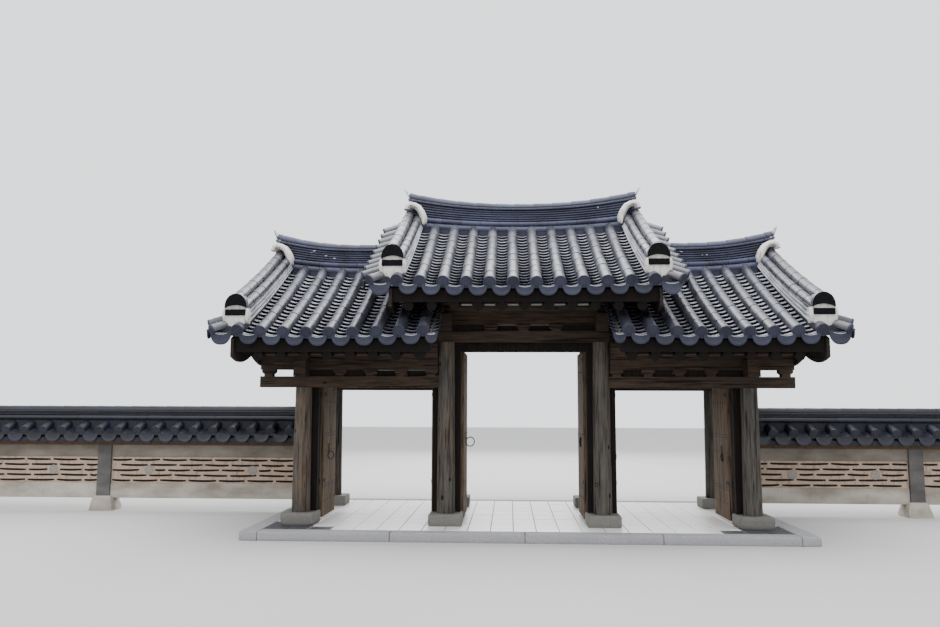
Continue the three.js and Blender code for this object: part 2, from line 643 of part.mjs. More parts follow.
// Two jambs scribed to their columns, a head and the lugs that carry the leaves
function doorFrame(bay) {
  const width = [bay.mid - bay.half + JAMB_OUTER, bay.mid + bay.half - JAMB_OUTER];
  const pieces = [block(width, FRAME_Y, bay.head)];
  for (const sign of [-1, 1]) {
    const jamb = [bay.half - JAMB_INNER, bay.half - JAMB_OUTER].map((u) => bay.mid + sign * u);
    pieces.push(block(jamb, FRAME_Y, [COLUMN_FOOT, bay.head[1]]));
    const x = bay.mid + sign * pivotX(bay);
    for (const z of hingeHeights(bay)) {
      pieces.push(block([x, x + sign * LUG_T], [FRAME_Y[1] - LUG_ROOT, PIVOT_Y], [z - LUG_H, z]));
      pieces.push(upright(KNUCKLE_R, x, PIVOT_Y, z - LUG_H, z));
    }
  }
  const shafts = [-1, 1].map((sign) => {
    const x = bay.mid + sign * bay.half;
    const tall = Math.abs(x) < (INNER_X + OUTER_X) / 2;
    return column(x, -ROW_Y, tall ? BEAM_BOTTOM + RISE : BEAM_BOTTOM, GAP);
  });
  const ties = [-1, 1].map((sign) => {
    const x = sign * (INNER_X + TIE_SHIFT);
    const half = CROSSBEAM_W / 2 + GAP;
    const depth = [CROSSBEAM_Z - GAP, CROSSBEAM_Z + CROSSBEAM_H + GAP];
    return block([x - half, x + half], [-ROW_Y, ROW_Y], depth);
  });
  return cut(join(pieces), [...shafts, ...ties]);
}

// A plank leaf standing open at a right angle to the wall, on its two knuckles
function doorLeaf(bay, sign) {
  const pivot = bay.mid + sign * pivotX(bay);
  const width = bay.half - JAMB_INNER + LEAF_LAP - LEAF_CLEAR / 2;
  const faces = [PIVOT_OUT, PIVOT_OUT + LEAF_T].map((u) => pivot - sign * u);
  const y0 = PIVOT_Y + PIVOT_SIDE;
  const pieces = [block(faces, [y0, y0 + width], [LEAF_FOOT, leafTop(bay)])];
  for (const z of hingeHeights(bay)) {
    const height = [z + GAP, z + KNUCKLE_H];
    pieces.push(upright(KNUCKLE_R, pivot, PIVOT_Y, ...height));
    pieces.push(block([pivot, pivot - sign * (PIVOT_OUT + BITE)], [PIVOT_Y, PIVOT_Y + STRAP_REACH], height));
  }
  return join(pieces);
}

function doors() {
  for (const [name, bay] of Object.entries(BAYS)) {
    add(`door_frame_${name}`, doorFrame(bay), DOOR_TIMBER);
    add(`door_leaf_${name}_bay_left`, doorLeaf(bay, -1), DOOR_TIMBER);
    add(`door_leaf_${name}_bay_right`, doorLeaf(bay, 1), DOOR_TIMBER);
  }
}

// A tapered footing block under a wall post
function footing(x) {
  const square = (r) => [[x - r, WALL_Y - r], [x + r, WALL_Y - r], [x + r, WALL_Y + r], [x - r, WALL_Y + r]];
  return loft([square(FOOTING_W / 2), square(FOOTING_TOP_W / 2)], (i, u, v) => [u, v, i * FOOTING_H]);
}

// A flanking wall: concrete posts, footings and rails, plastered panels and a tiled cap
function wall(side, sign) {
  const bays = WALL_BAYS[side];
  const posts = bays.map((bay, i) => WALL_START + bays.slice(0, i + 1).reduce((sum, next) => sum + next));
  const end = posts.at(-1);
  const across = (half) => [WALL_Y - half, WALL_Y + half];
  const along = (a, b) => [sign * a, sign * b];
  const rail = (z) => block(along(WALL_START, end), across(WALL_BEAM_T / 2), z);
  const frame = [FOOT_BEAM_Z, TOP_BEAM_Z].map(rail);
  posts.forEach((x, i) => {
    const post = along(x - POST_W / 2, x + POST_W / 2);
    const from = i ? posts[i - 1] + POST_W / 2 + GAP : WALL_START;
    const width = along(from, x - POST_W / 2 - GAP);
    const panel = block(width, across(PANEL_T / 2), [FOOT_BEAM_Z[1] + GAP, TOP_BEAM_Z[0] - GAP]);
    frame.push(block(post, across(POST_W / 2), [FOOTING_H - BITE, TOP_BEAM_Z[1]]), footing(sign * x));
    add(`wall_panel_${side}_${i + 1}`, panel, PLASTER);
  });
  const stone = STONE / 2 + GAP;
  const round = (at) => [at - stone, at + stone];
  const notch = block(round(sign * OUTER_X), round(ROW_Y), [0, COLUMN_FOOT]);
  add(`wall_frame_${side}`, cut(join(frame), [notch]), CONCRETE);
  const half = [[CAP_PLATE_HALF, TOP_BEAM_Z[1] + GAP], [CAP_PLATE_HALF, CAP_EAVE_Z[0]],
    [CAP_HALF, CAP_EAVE_Z[0]], [CAP_HALF, CAP_EAVE_Z[1]], [CAP_RIDGE_HALF, CAP_RIDGE_Z[0]],
    [CAP_RIDGE_HALF, CAP_RIDGE_Z[1]], [CAP_TOP_HALF, CAP_TOP_Z]];
  const outline = mirrored(half).map(([u, z]) => [WALL_Y + u, z]);
  const capEnd = end + POST_W / 2 + CAP_END;
  add(`wall_cap_${side}`, sidePlate(outline, sign * WALL_START, sign * capEnd), TILE);
}

platform();
columns();
beamLines();
ridgeFrames();
roofs();
doors();
wall('left', -1);
wall('right', 1);

export default gate;
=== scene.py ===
"""Looks of a three-bay gate with a raised centre roof and tile-capped flanking walls.

Everything is in metres in the model's own frame: +X runs right along the front, +Y to the rear, +Z up,
with the origin on the ground in the middle of the gate. In the pieces below, side is -1 in front and 1
behind, sign is -1 on the left and 1 on the right, and t is the distance in from the eave."""

import json
import math
import random

import bmesh
import bpy
import numpy as np
from bpy.props import FloatProperty, FloatVectorProperty, IntProperty, PointerProperty
from mathutils import Matrix, Vector

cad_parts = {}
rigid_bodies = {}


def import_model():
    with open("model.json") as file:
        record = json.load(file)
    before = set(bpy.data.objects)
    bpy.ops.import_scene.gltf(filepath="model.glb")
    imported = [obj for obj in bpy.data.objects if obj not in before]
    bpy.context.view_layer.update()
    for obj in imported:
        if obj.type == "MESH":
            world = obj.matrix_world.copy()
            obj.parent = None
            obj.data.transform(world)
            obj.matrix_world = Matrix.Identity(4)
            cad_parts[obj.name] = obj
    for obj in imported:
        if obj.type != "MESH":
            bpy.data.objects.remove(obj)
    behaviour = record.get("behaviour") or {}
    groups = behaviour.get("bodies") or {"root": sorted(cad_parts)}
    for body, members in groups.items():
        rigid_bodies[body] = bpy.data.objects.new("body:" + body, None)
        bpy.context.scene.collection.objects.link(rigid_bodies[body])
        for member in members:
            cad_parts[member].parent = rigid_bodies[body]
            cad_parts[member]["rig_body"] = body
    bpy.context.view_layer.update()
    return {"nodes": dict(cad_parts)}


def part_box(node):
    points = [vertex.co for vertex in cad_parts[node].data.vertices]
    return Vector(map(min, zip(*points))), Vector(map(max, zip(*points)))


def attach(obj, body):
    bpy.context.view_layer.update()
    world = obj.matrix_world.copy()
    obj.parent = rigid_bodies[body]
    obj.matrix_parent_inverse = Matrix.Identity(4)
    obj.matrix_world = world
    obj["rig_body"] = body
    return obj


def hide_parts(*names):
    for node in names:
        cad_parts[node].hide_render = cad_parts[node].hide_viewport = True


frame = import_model()

bl_info = {
    "name": "Three-bay gate",
    "version": (1, 0, 0),
    "blender": (4, 5, 0),
    "location": "View3D > Sidebar > Gate",
    "description": "Dresses a three-bay tiled gate and its walls in their real finishes",
    "category": "Add Mesh",
}

ROOT = "gate"
MM = 0.001
UP = np.array([0.0, 0.0, 1.0])
RIGHT = np.array([1.0, 0.0, 0.0])
BACK = np.array([0.0, 1.0, 0.0])


def linear(code):
    """An sRGB hex value as linear RGB."""
    values = [int(code[i : i + 2], 16) / 255 for i in (1, 3, 5)]
    return tuple(v / 12.92 if v <= 0.04045 else ((v + 0.055) / 1.055) ** 2.4 for v in values)


def unit(v):
    """The vector at a length of 1."""
    return np.asarray(v, float) / np.linalg.norm(v)


# Setting out: bays of 8 and 7.5 old feet, columns 8 feet apart from front to rear
FOOT = 0.303
INNER_X = 4 * FOOT
OUTER_X = INNER_X + 7.5 * FOOT
ROW_Y = 4 * FOOT
PLATFORM_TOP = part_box("paved_floor")[1].z
EDGE_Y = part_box("roof_tiles_centre")[1].y
VERGE_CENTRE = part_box("roof_tiles_centre")[1].x
VERGE_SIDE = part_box("roof_tiles_right")[1].x

# Roof lines: the slope steepens towards the ridge, and eaves and crests lift towards their ends
CENTRE_RISE = 0.716
EAVE_Z = PLATFORM_TOP + 2.858
EAVE_SLOPE = 0.4305
SLOPE_GAIN = 0.0302
EAVE_LIFT = 0.035
TOP_LIFT = 0.100
CREST_RISE = 0.443
CREST_LIFT = 0.205

# Rows of cover tiles, and the descending ridges that lie inside the verges
PITCH = 0.3336
SIDE_FIRST_ROW = 1.451
SIDE_MID = (INNER_X + OUTER_X) / 2 + 0.43
SIDE_ROWS = [SIDE_FIRST_ROW + PITCH * k for k in range(9)]
CENTRE_ROWS = [PITCH * (k + 0.5) for k in range(-6, 6)]
HIP_INSET = 0.43
HIDDEN_ROWS_REACH = INNER_X + 0.73
HIDDEN_ROWS_STOP = 1.24

# Main ridges, from end to end; the side ones run out 60 mm past their solid
SIDE_RIDGE = (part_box("main_ridge_right")[0].x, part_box("main_ridge_right")[1].x + 0.06)
CENTRE_RIDGE = (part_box("main_ridge_centre")[0].x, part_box("main_ridge_centre")[1].x)


class Roof:
    """One double-pitched roof: its middle, its end lift, its rows of cover tiles and its verges."""

    def __init__(self, name, mid, run, crest_run, lift, rows, verges, ridge):
        self.name = name
        self.centre = name == "centre"
        self.mid = mid
        self.run = run
        self.crest_run = crest_run
        self.lift = lift
        self.rows = rows
        self.verges = verges
        self.ridge = ridge

    def axis_z(self, x, t):
        """Height of the cover tiles' axis at a distance t in from the eave."""
        share = (x - self.mid) / self.run
        lift = (EAVE_LIFT + (TOP_LIFT - EAVE_LIFT) * t / EDGE_Y) * share * share
        return EAVE_Z + self.lift + EAVE_SLOPE * t + SLOPE_GAIN * t * t + lift

    def at(self, x, t, side, up=0.0):
        """A point over one slope."""
        return np.array([x, side * (EDGE_Y - t), self.axis_z(x, t) + up])

    def crest_z(self, x):
        """Top of the main ridge."""
        lift = CREST_LIFT * (abs(x - self.mid) / self.crest_run) ** 2.2
        return self.axis_z(self.mid, EDGE_Y) + CREST_RISE + lift

    def row_stop(self, x, gap):
        """How far up a row runs: a side roof's inner rows stop at the centre bay's wall."""
        hidden = not self.centre and abs(x) < HIDDEN_ROWS_REACH
        return HIDDEN_ROWS_STOP if hidden else EDGE_Y - gap


def side_roof(name, sign):
    """A side roof, with its verge on the outer side only."""
    rows = [sign * x for x in SIDE_ROWS]
    ridge = tuple(sorted(sign * x for x in SIDE_RIDGE))
    return Roof(name, sign * SIDE_MID, 1.42, 1.53, 0.0, rows, [sign * VERGE_SIDE], ridge)


ROOFS = [
    side_roof("left", -1),
    Roof("centre", 0.0, 1.95, 1.95, CENTRE_RISE, CENTRE_ROWS, [-VERGE_CENTRE, VERGE_CENTRE], CENTRE_RIDGE),
    side_roof("right", 1),
]


# Mesh making


class Shape:
    """Collects closed bodies, each with its finish, and makes one mesh object of them."""

    def __init__(self):
        self.points = []
        self.faces = []
        self.finishes = []
        self.count = 0

    def add(self, points, faces, finish=0):
        """Takes in a body; finish is one number for all its faces or a list with one each."""
        points = np.asarray(points, float).reshape(-1, 3)
        self.points.append(points)
        self.faces.extend([tuple(i + self.count for i in face) for face in faces])
        self.finishes.extend(finish if isinstance(finish, list) else [finish] * len(faces))
        self.count += len(points)

    def slab(self, top, bottom, finish=0, under=None):
        """A closed body between two grids of points of one shape; its under side may differ in finish."""
        top, bottom = np.asarray(top, float), np.asarray(bottom, float)
        n, m = top.shape[:2]
        size = n * m
        faces = []
        for i in range(n - 1):
            for j in range(m - 1):
                a, b, c, d = i * m + j, i * m + j + 1, (i + 1) * m + j + 1, (i + 1) * m + j
                faces.append((a, b, c, d))
                faces.append((size + d, size + c, size + b, size + a))
        rim = list(range(m))
        rim += [i * m + m - 1 for i in range(1, n)]
        rim += [(n - 1) * m + j for j in range(m - 2, -1, -1)]
        rim += [i * m for i in range(n - 2, 0, -1)]
        for a, b in zip(rim, rim[1:] + rim[:1]):
            faces.append((b, a, size + a, size + b))
        under = finish if under is None else under
        cells = (n - 1) * (m - 1)
        kinds = [finish, under] * cells + [under] * len(rim)
        self.add(np.concatenate([top.reshape(-1, 3), bottom.reshape(-1, 3)]), faces, kinds)

    def loft(self, rings, finish=0):
        """A closed body over rings of points, with flat ends."""
        rings = np.asarray(rings, float)
        n, m = rings.shape[:2]
        faces = []
        for i in range(n - 1):
            for j in range(m):
                k = (j + 1) % m
                faces.append((i * m + j, i * m + k, (i + 1) * m + k, (i + 1) * m + j))
        faces.append(tuple(range(m - 1, -1, -1)))
        faces.append(tuple((n - 1) * m + j for j in range(m)))
        self.add(rings.reshape(-1, 3), faces, finish)

    def block(self, a, b, bevel, finish=0):
        """A box between two opposite corners, with its upright edges and rims rounded off."""
        (x0, y0, z0), (x1, y1, z1) = np.minimum(a, b), np.maximum(a, b)
        rings = []
        for inset, z in ((bevel, z0), (0, z0 + bevel), (0, z1 - bevel), (bevel, z1)):
            left, right, front, rear = x0 + inset, x1 - inset, y0 + inset, y1 - inset
            ring = [(left + bevel, front), (right - bevel, front), (right, front + bevel)]
            ring += [(right, rear - bevel), (right - bevel, rear), (left + bevel, rear)]
            ring += [(left, rear - bevel), (left, front + bevel)]
            rings.append([(x, y, z) for x, y in ring])
        self.loft(rings, finish)

    def turned(self, centre, side, up, out, profile, sides, relief=None, finish=0):
        """A round body about the axis out. The profile lists (radius, height) from axis to axis."""
        points, rings = [], []
        for radius, height in profile:
            if radius == 0:
                rings.append([len(points)])
                points.append(centre + out * height)
                continue
            rings.append(list(range(len(points), len(points) + sides)))
            for k in range(sides):
                angle = 2 * math.pi * k / sides
                rise = relief(radius, angle) if relief else 0.0
                ray = math.cos(angle) * side + math.sin(angle) * up
                points.append(centre + radius * ray + (height + rise) * out)
        faces = []
        for low, high in zip(rings, rings[1:]):
            for k in range(sides):
                n = (k + 1) % sides
                if len(low) == 1:
                    faces.append((low[0], high[n], high[k]))
                elif len(high) == 1:
                    faces.append((low[k], low[n], high[0]))
                else:
                    faces.append((low[k], low[n], high[n], high[k]))
        self.add(points, faces, finish)

    def hoop(self, centre, side, wide, tall, bar, finish):
        """An upright ring or link of round bar; wide, tall and bar are half sizes."""
        turns, facets = 24, 8
        out = np.cross(side, UP)
        points, faces = [], []
        for i in range(turns):
            a = 2 * math.pi * i / turns
            spoke = math.cos(a) * side + math.sin(a) * UP
            middle = centre + wide * math.cos(a) * side + tall * math.sin(a) * UP
            for j in range(facets):
                b = 2 * math.pi * j / facets
                points.append(middle + bar * (math.cos(b) * spoke + math.sin(b) * out))
                n, m = (i + 1) % turns, (j + 1) % facets
                faces.append((i * facets + j, i * facets + m, n * facets + m, n * facets + j))
        self.add(points, faces, finish)

    def piece(self, name, finishes, body=ROOT, slot=None, replaces=(), crease=38):
        """Makes the mesh object, sharp at edges past the crease angle, and rides it on a body."""
        mesh = bpy.data.meshes.new(name)
        mesh.from_pydata(np.concatenate(self.points).tolist(), [], self.faces)
        for finish in finishes:
            mesh.materials.append(FINISHES[finish])
        mesh.polygons.foreach_set("material_index", np.array(self.finishes, np.int32))
        mesh.polygons.foreach_set("use_smooth", np.ones(len(mesh.polygons), bool))
        mesh.update()
        outward(mesh)
        mesh.set_sharp_from_angle(angle=math.radians(crease))
        made = bpy.data.objects.new(name, mesh)
        bpy.context.scene.collection.objects.link(made)
        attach(made, body)
        if replaces:
            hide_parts(*replaces)
        return made


def outward(mesh):
    """Turns every face of the closed bodies outward."""
    work = bmesh.new()
    work.from_mesh(mesh)
    bmesh.ops.recalc_face_normals(work, faces=work.faces)
    work.to_mesh(mesh)
    work.free()


def square(direction, axis):
    """The part of a direction that lies square to an axis, at a length of 1."""
    return unit(direction - axis * np.dot(direction, axis))


def across(low, high, side):
    """The two directions square to the line from low to high: one near side, one upward."""
    axis = unit(high - low)
    side = square(side, axis)
    up = np.cross(side, axis)
    return side, up if up[2] > 0 or abs(up[2]) < 1e-6 else -up


def cover_tile(shape, low, high, side, r_low, r_high, spread=200, finish=0):
    """A half-round cover tile lying from its lower end to its upper end."""
    thick, facets = 18 * MM, 12
    side, up = across(low, high, side)
    angles = np.radians(np.linspace(90 - spread / 2, 90 + spread / 2, facets + 1))
    rays = np.cos(angles)[:, None] * side + np.sin(angles)[:, None] * up
    ends = [(low, r_low), (high, r_high)]
    top = [end + radius * rays for end, radius in ends]
    bottom = [end + (radius - thick) * rays for end, radius in ends]
    shape.slab(top, bottom, finish)


def trough(reach, curve):
    """Rise of a pan tile's face over its middle, on an arc of radius curve."""
    return curve - np.sqrt(curve**2 - reach**2)


def pan_tile(shape, low, high, side, half, curve, thick, finish=0, under=None):
    """A shallow trough of a pan tile; low and high are the middle of its upper face."""
    side, up = across(low, high, side)
    reach = np.linspace(-half, half, 9)
    face = reach[:, None] * side + trough(reach, curve)[:, None] * up
    top = [low + face, high + face]
    bottom = [point - thick * up for point in top]
    shape.slab(top, bottom, finish, under)


# Lines of a drip plate, as the share of its depth below the top edge and how far they stand proud
DRIP_LINES = [(0.0, 0.004), (0.25, 0.0), (0.5, 0.0), (0.72, 0.0), (0.78, 0.004), (0.9, 0.004), (1.0, 0.0)]


def drip_plate(shape, middle, side, out, half, curve, depth, finish=0):
    """The hanging crescent at the mouth of a pan row, with a raised rim and an inner line."""
    thick, lean, lip, shoulder = 0.016, 0.05, 0.004, 0.01
    columns = np.linspace(-1, 1, 17)
    top_edge = trough(columns * half, curve) + lip
    ends = top_edge[0] - shoulder
    low_edge = ends - (depth + ends) * (1 - np.abs(columns) ** 2.6) ** 0.6
    front, back = [], []
    for share, proud in DRIP_LINES:
        z = top_edge + (low_edge - top_edge) * share
        flat = middle + (columns * half)[:, None] * side + z[:, None] * UP
        forward = (proud + lean * (top_edge - z))[:, None] * out
        front.append(flat + forward)
        back.append(flat + forward - (thick + proud) * out)
    shape.slab(front, back, finish)


# Rings of a moulded disc, from its middle to its edge
DISC_RINGS = [0.012, 0.022, 0.030, 0.044, 0.058, 0.068, 0.075, 0.084, 0.092]
BUD, PETAL_FOOT, PETAL_TIP, RIM = 0.024, 0.028, 0.066, 0.074


def petals(radius, angle):
    """Relief of an eight-petalled flower with a rim, as on eave-end tiles."""
    if radius > RIM:
        return 0.005
    if PETAL_FOOT < radius < PETAL_TIP:
        return 0.005 * abs(math.cos(4 * angle))
    return 0.003 if radius < BUD else -0.001


def end_disc(shape, centre, side, out, radius, finish=0):
    """The round face closing a row of cover tiles."""
    thick, bulge = 0.022, 0.002
    up = np.cross(out, side)
    scale = radius / DISC_RINGS[-1]
    profile = [(0, bulge)] + [(r * scale, 0.0) for r in DISC_RINGS] + [(radius, -thick), (0, -thick)]

    def relief(r, angle):
        return petals(r / scale, angle) if r < radius else 0.0

    shape.turned(centre, side, up, out, profile, 24, relief, finish)


# Finishes

# Settings of a Mix node that mixes two colours, its inputs 6 and 7, by the factor in its input 0
COLOURS = {"out": 2, "data_type": "RGBA"}


def add(tree, kind, inputs=(), out=0, **settings):
    """Adds a node with its settings and links, and gives back one of its outputs.

    The inputs come as a list in the node's order, or by name. Each is a value, a linear colour or another
    node's output."""
    node = tree.nodes.new("ShaderNode" + kind)
    for key, value in settings.items():
        setattr(node, key, value)
    for key, value in inputs.items() if isinstance(inputs, dict) else enumerate(inputs):
        socket = node.inputs[key]
        if isinstance(value, bpy.types.NodeSocket):
            tree.links.new(value, socket)
        else:
            socket.default_value = (*value, 1.0) if socket.type == "RGBA" else value
    return node.outputs[out] if node.outputs else None


def per(*sizes):
    """The scale at which a pattern measures these sizes in mm: one for all axes, or one for each."""
    scales = tuple(1 / (size * MM) for size in sizes)
    return scales if len(scales) > 1 else scales[0]


def new_finish(name):
    """An empty material, its node tree and the place in the model."""
    finish = bpy.data.materials.new(name)
    finish.use_nodes = True
    tree = finish.node_tree
    tree.nodes.clear()
    return finish, tree, add(tree, "TexCoord", out="Object")


def shaded(finish, inputs):
    """Ends a finish with its shader, and gives it back."""
    shader = add(finish.node_tree, "BsdfPrincipled", inputs)
    add(finish.node_tree, "OutputMaterial", {"Surface": shader}, is_active_output=True)
    return finish


def smoked_clay_tile(name, dark, pale, dull, gloss):
    """Roof tile of clay, pressed in a mould and smoke-fired."""
    # Gives the eye blue-grey tiles that each have a shade of their own, with a faint silver bloom. The
    # smoke's patches are as long as a tile. The clay's grit is under 1 mm and is drawn at 12 mm, because
    # it wouldn't show at this distance.
    finish, tree, place = new_finish(name)
    smoke = add(tree, "TexNoise", {"Vector": place, "Scale": per(350), "Detail": 5, "Roughness": 0.55})
    grit = add(tree, "TexNoise", {"Vector": place, "Scale": per(12), "Detail": 3, "Roughness": 0.55})
    own = add(tree, "MapRange", [add(tree, "NewGeometry", out="Random Per Island"), 0, 1, -0.3, 0.3])
    patches = add(tree, "MapRange", [smoke, 0.35, 0.7])
    shade = add(tree, "Math", [own, patches], operation="ADD", use_clamp=True)
    colour = add(tree, "Mix", {0: shade, 6: dark, 7: pale}, **COLOURS)
    bloom = add(tree, "MapRange", [grit, 0.62, 0.75, 0.0, 0.2])
    colour = add(tree, "Mix", {0: bloom, 6: colour, 7: linear("#7d7f8a")}, **COLOURS)
    rough = add(tree, "MapRange", [smoke, 0.3, 0.75, dull - 0.05, dull + 0.10])
    skin = add(tree, "Bump", {"Height": grit, "Distance": 0.8 * MM, "Strength": 0.5})
    return shaded(finish, {"Base Color": colour, "Roughness": rough, "IOR": gloss, "Normal": skin})


def lime_plaster(name, colour, dirt):
    """Lime plaster laid by hand with a trowel."""
    # Gives the eye a matt, chalky skin with low trowel lumps of 30 mm and grey rain streaks of 50 by 150 mm
    finish, tree, place = new_finish(name)
    drawn = add(tree, "Mapping", {"Vector": place, "Scale": per(50, 50, 150)})
    streaks = add(tree, "TexNoise", {"Vector": drawn, "Scale": 1.0, "Detail": 4, "Roughness": 0.55})
    lumps = add(tree, "TexNoise", {"Vector": place, "Scale": per(30), "Detail": 3, "Roughness": 0.55})
    rain = add(tree, "MapRange", [streaks, 0.5, 0.8])
    colour = add(tree, "Mix", {0: rain, 6: colour, 7: dirt}, **COLOURS)
    skin = add(tree, "Bump", {"Height": lumps, "Distance": 6 * MM, "Strength": 0.8})
    return shaded(finish, {"Base Color": colour, "Roughness": 0.9, "Normal": skin})


# Patterns of the wood: width and length along the grain in mm, detail and roughness. Year rings lie 2 mm
# apart and are drawn at 6 mm, because finer ones wouldn't show at this distance.
WOOD = {
    "fibres": (6, 180, 3, 0.6),
    "bands": (35, 420, 2, 0.55),
    "patches": (500, 1500, 4, 0.55),
    "cracks": (22, 836, 2, 0.4),
}
KNOTS = (238.1, 404.8)


def weathered_pine(name, along, fresh, grey, dark, wear):
    """Pine sawn and planed, and left bare outdoors; along is the axis of its grain."""
    # Gives the eye brown wood under cover and grey wood where rain reaches it, with open grain, drying
    # cracks and dark knots
    finish, tree, place = new_finish(name)

    def drawn_out(wide, long):
        """The scale of a pattern that is longer along the grain."""
        return per(*[long if axis == along else wide for axis in "XYZ"])

    found = {}
    for key, (wide, long, detail, rough) in WOOD.items():
        drawn = add(tree, "Mapping", {"Vector": place, "Scale": drawn_out(wide, long)})
        inputs = {"Vector": drawn, "Scale": 1.0, "Detail": detail, "Roughness": rough}
        found[key] = add(tree, "TexNoise", inputs)
    drawn = add(tree, "Mapping", {"Vector": place, "Scale": drawn_out(*KNOTS)})
    knots = add(tree, "TexVoronoi", {"Vector": drawn, "Scale": 1.0}, "Distance")
    weather = add(tree, "MapRange", [found["patches"], 0.42 - wear * 0.2, 0.66 - wear * 0.2])
    colour = add(tree, "Mix", {0: weather, 6: fresh, 7: grey}, **COLOURS)
    split = add(tree, "MapRange", [found["cracks"], 0.61, 0.66, 0.0, 0.9])
    lines = [
        (add(tree, "MapRange", [found["bands"], 0.4, 0.75, 0.0, 0.7]), dark),
        (add(tree, "MapRange", [found["fibres"], 0.45, 0.8, 0.0, 0.7]), dark),
        (split, linear("#120e0b")),
        (add(tree, "MapRange", [knots, 0.075, 0.115, 1.0, 0.0]), linear("#1c130d")),
    ]
    for share, tone in lines:
        colour = add(tree, "Mix", {0: share, 6: colour, 7: tone}, **COLOURS)
    grain = add(tree, "Bump", {"Height": found["fibres"], "Distance": 2 * MM, "Strength": 0.7})
    skin = add(tree, "Bump", {"Height": split, "Distance": -4 * MM, "Strength": 0.9, "Normal": grain})
    inputs = {"Base Color": colour, "Roughness": 0.8, "Specular IOR Level": 0.15, "Normal": skin}
    return shaded(finish, inputs)


def dressed_stone(name, light, mid, fleck, grain=6, dull=0.82):
    """Granite hewn, sawn and flamed, and dark slabs drawn as painted shade; grain is the size at which its
    crystals are drawn, in mm.
    """
    # Gives the eye a speckled stone with dark mica flecks and a fine rough skin. Real crystals measure 2
    # to 3 mm and are drawn at 4 to 6 mm, because finer ones wouldn't show at this distance. Soil stains
    # measure 400 mm.
    finish, tree, place = new_finish(name)
    crystals = add(tree, "TexVoronoi", {"Vector": place, "Scale": per(grain)}, "Color")
    size = grain * 1.3
    flecks = add(tree, "TexNoise", {"Vector": place, "Scale": per(size), "Detail": 2, "Roughness": 0.55})
    soil = add(tree, "TexNoise", {"Vector": place, "Scale": per(400), "Detail": 5, "Roughness": 0.55})
    colour = add(tree, "Mix", {0: add(tree, "MapRange", [crystals, 0.1, 0.9]), 6: light, 7: mid}, **COLOURS)
    mica = add(tree, "MapRange", [flecks, 0.62, 0.7, 0.0, 0.8])
    colour = add(tree, "Mix", {0: mica, 6: colour, 7: fleck}, **COLOURS)
    stain = add(tree, "MapRange", [soil, 0.5, 0.8, 0.0, 0.4])
    colour = add(tree, "Mix", {0: stain, 6: colour, 7: mid}, **COLOURS)
    skin = add(tree, "Bump", {"Height": flecks, "Distance": 3 * MM, "Strength": 0.6})
    return shaded(finish, {"Base Color": colour, "Roughness": dull, "Normal": skin})


def cast_concrete(name, light, dark):
    """Concrete cast between boards and stained by rain."""
    # Gives the eye a beige grey with stains of 300 by 750 mm, upright drips of 50 by 300 mm and pinholes.
    # The pinholes measure 4 mm and are drawn at 14 mm, because finer ones wouldn't show at this distance.
    finish, tree, place = new_finish(name)
    drawn = add(tree, "Mapping", {"Vector": place, "Scale": per(750, 300, 300)})
    stains = add(tree, "TexNoise", {"Vector": drawn, "Scale": 1.0, "Detail": 6, "Roughness": 0.55})
    drawn = add(tree, "Mapping", {"Vector": place, "Scale": per(50, 50, 300)})
    drips = add(tree, "TexNoise", {"Vector": drawn, "Scale": 1.0, "Detail": 4, "Roughness": 0.55})
    holes = add(tree, "TexNoise", {"Vector": place, "Scale": per(14), "Detail": 2, "Roughness": 0.55})
    colour = add(tree, "Mix", {0: add(tree, "MapRange", [stains, 0.35, 0.7]), 6: light, 7: dark}, **COLOURS)
    run = add(tree, "MapRange", [drips, 0.55, 0.8, 0.0, 0.45])
    colour = add(tree, "Mix", {0: run, 6: colour, 7: dark}, **COLOURS)
    pits = add(tree, "MapRange", [holes, 0.66, 0.74])
    skin = add(tree, "Bump", {"Height": pits, "Distance": -4 * MM, "Strength": 0.7})
    return shaded(finish, {"Base Color": colour, "Roughness": 0.9, "Normal": skin})


def wrought_iron(name):
    """Iron hammered out, blackened and rusting in patches."""
    # Gives the eye dark, dull metal dimpled every 25 mm, with brown rust
    finish, tree, place = new_finish(name)
    dimples = add(tree, "TexNoise", {"Vector": place, "Scale": per(25), "Detail": 4, "Roughness": 0.55})
    rust = add(tree, "MapRange", [dimples, 0.55, 0.7])
    inputs = {
        "Base Color": add(tree, "Mix", {0: rust, 6: linear("#171412"), 7: linear("#4a2f1e")}, **COLOURS),
        "Metallic": add(tree, "MapRange", [rust, 0, 1, 0.4, 0.1]),
        "Roughness": add(tree, "MapRange", [rust, 0, 1, 0.75, 0.9]),
        "Normal": add(tree, "Bump", {"Height": dimples, "Distance": 2 * MM, "Strength": 0.6}),
    }
    return shaded(finish, inputs)


def studio_paper(name):
    """Matt paper rolled out as a floor."""
    # Gives the eye an even pale ground that takes soft shadows. Its tone drifts over 3 m.
    finish, tree, place = new_finish(name)
    tone = add(tree, "TexNoise", {"Vector": place, "Scale": per(3000), "Detail": 2, "Roughness": 0.55})
    colour = add(tree, "Mix", {0: tone, 6: linear("#b1b0ae"), 7: linear("#b7b6b4")}, **COLOURS)
    return shaded(finish, {"Base Color": colour, "Roughness": 0.95})


FINISHES = {}


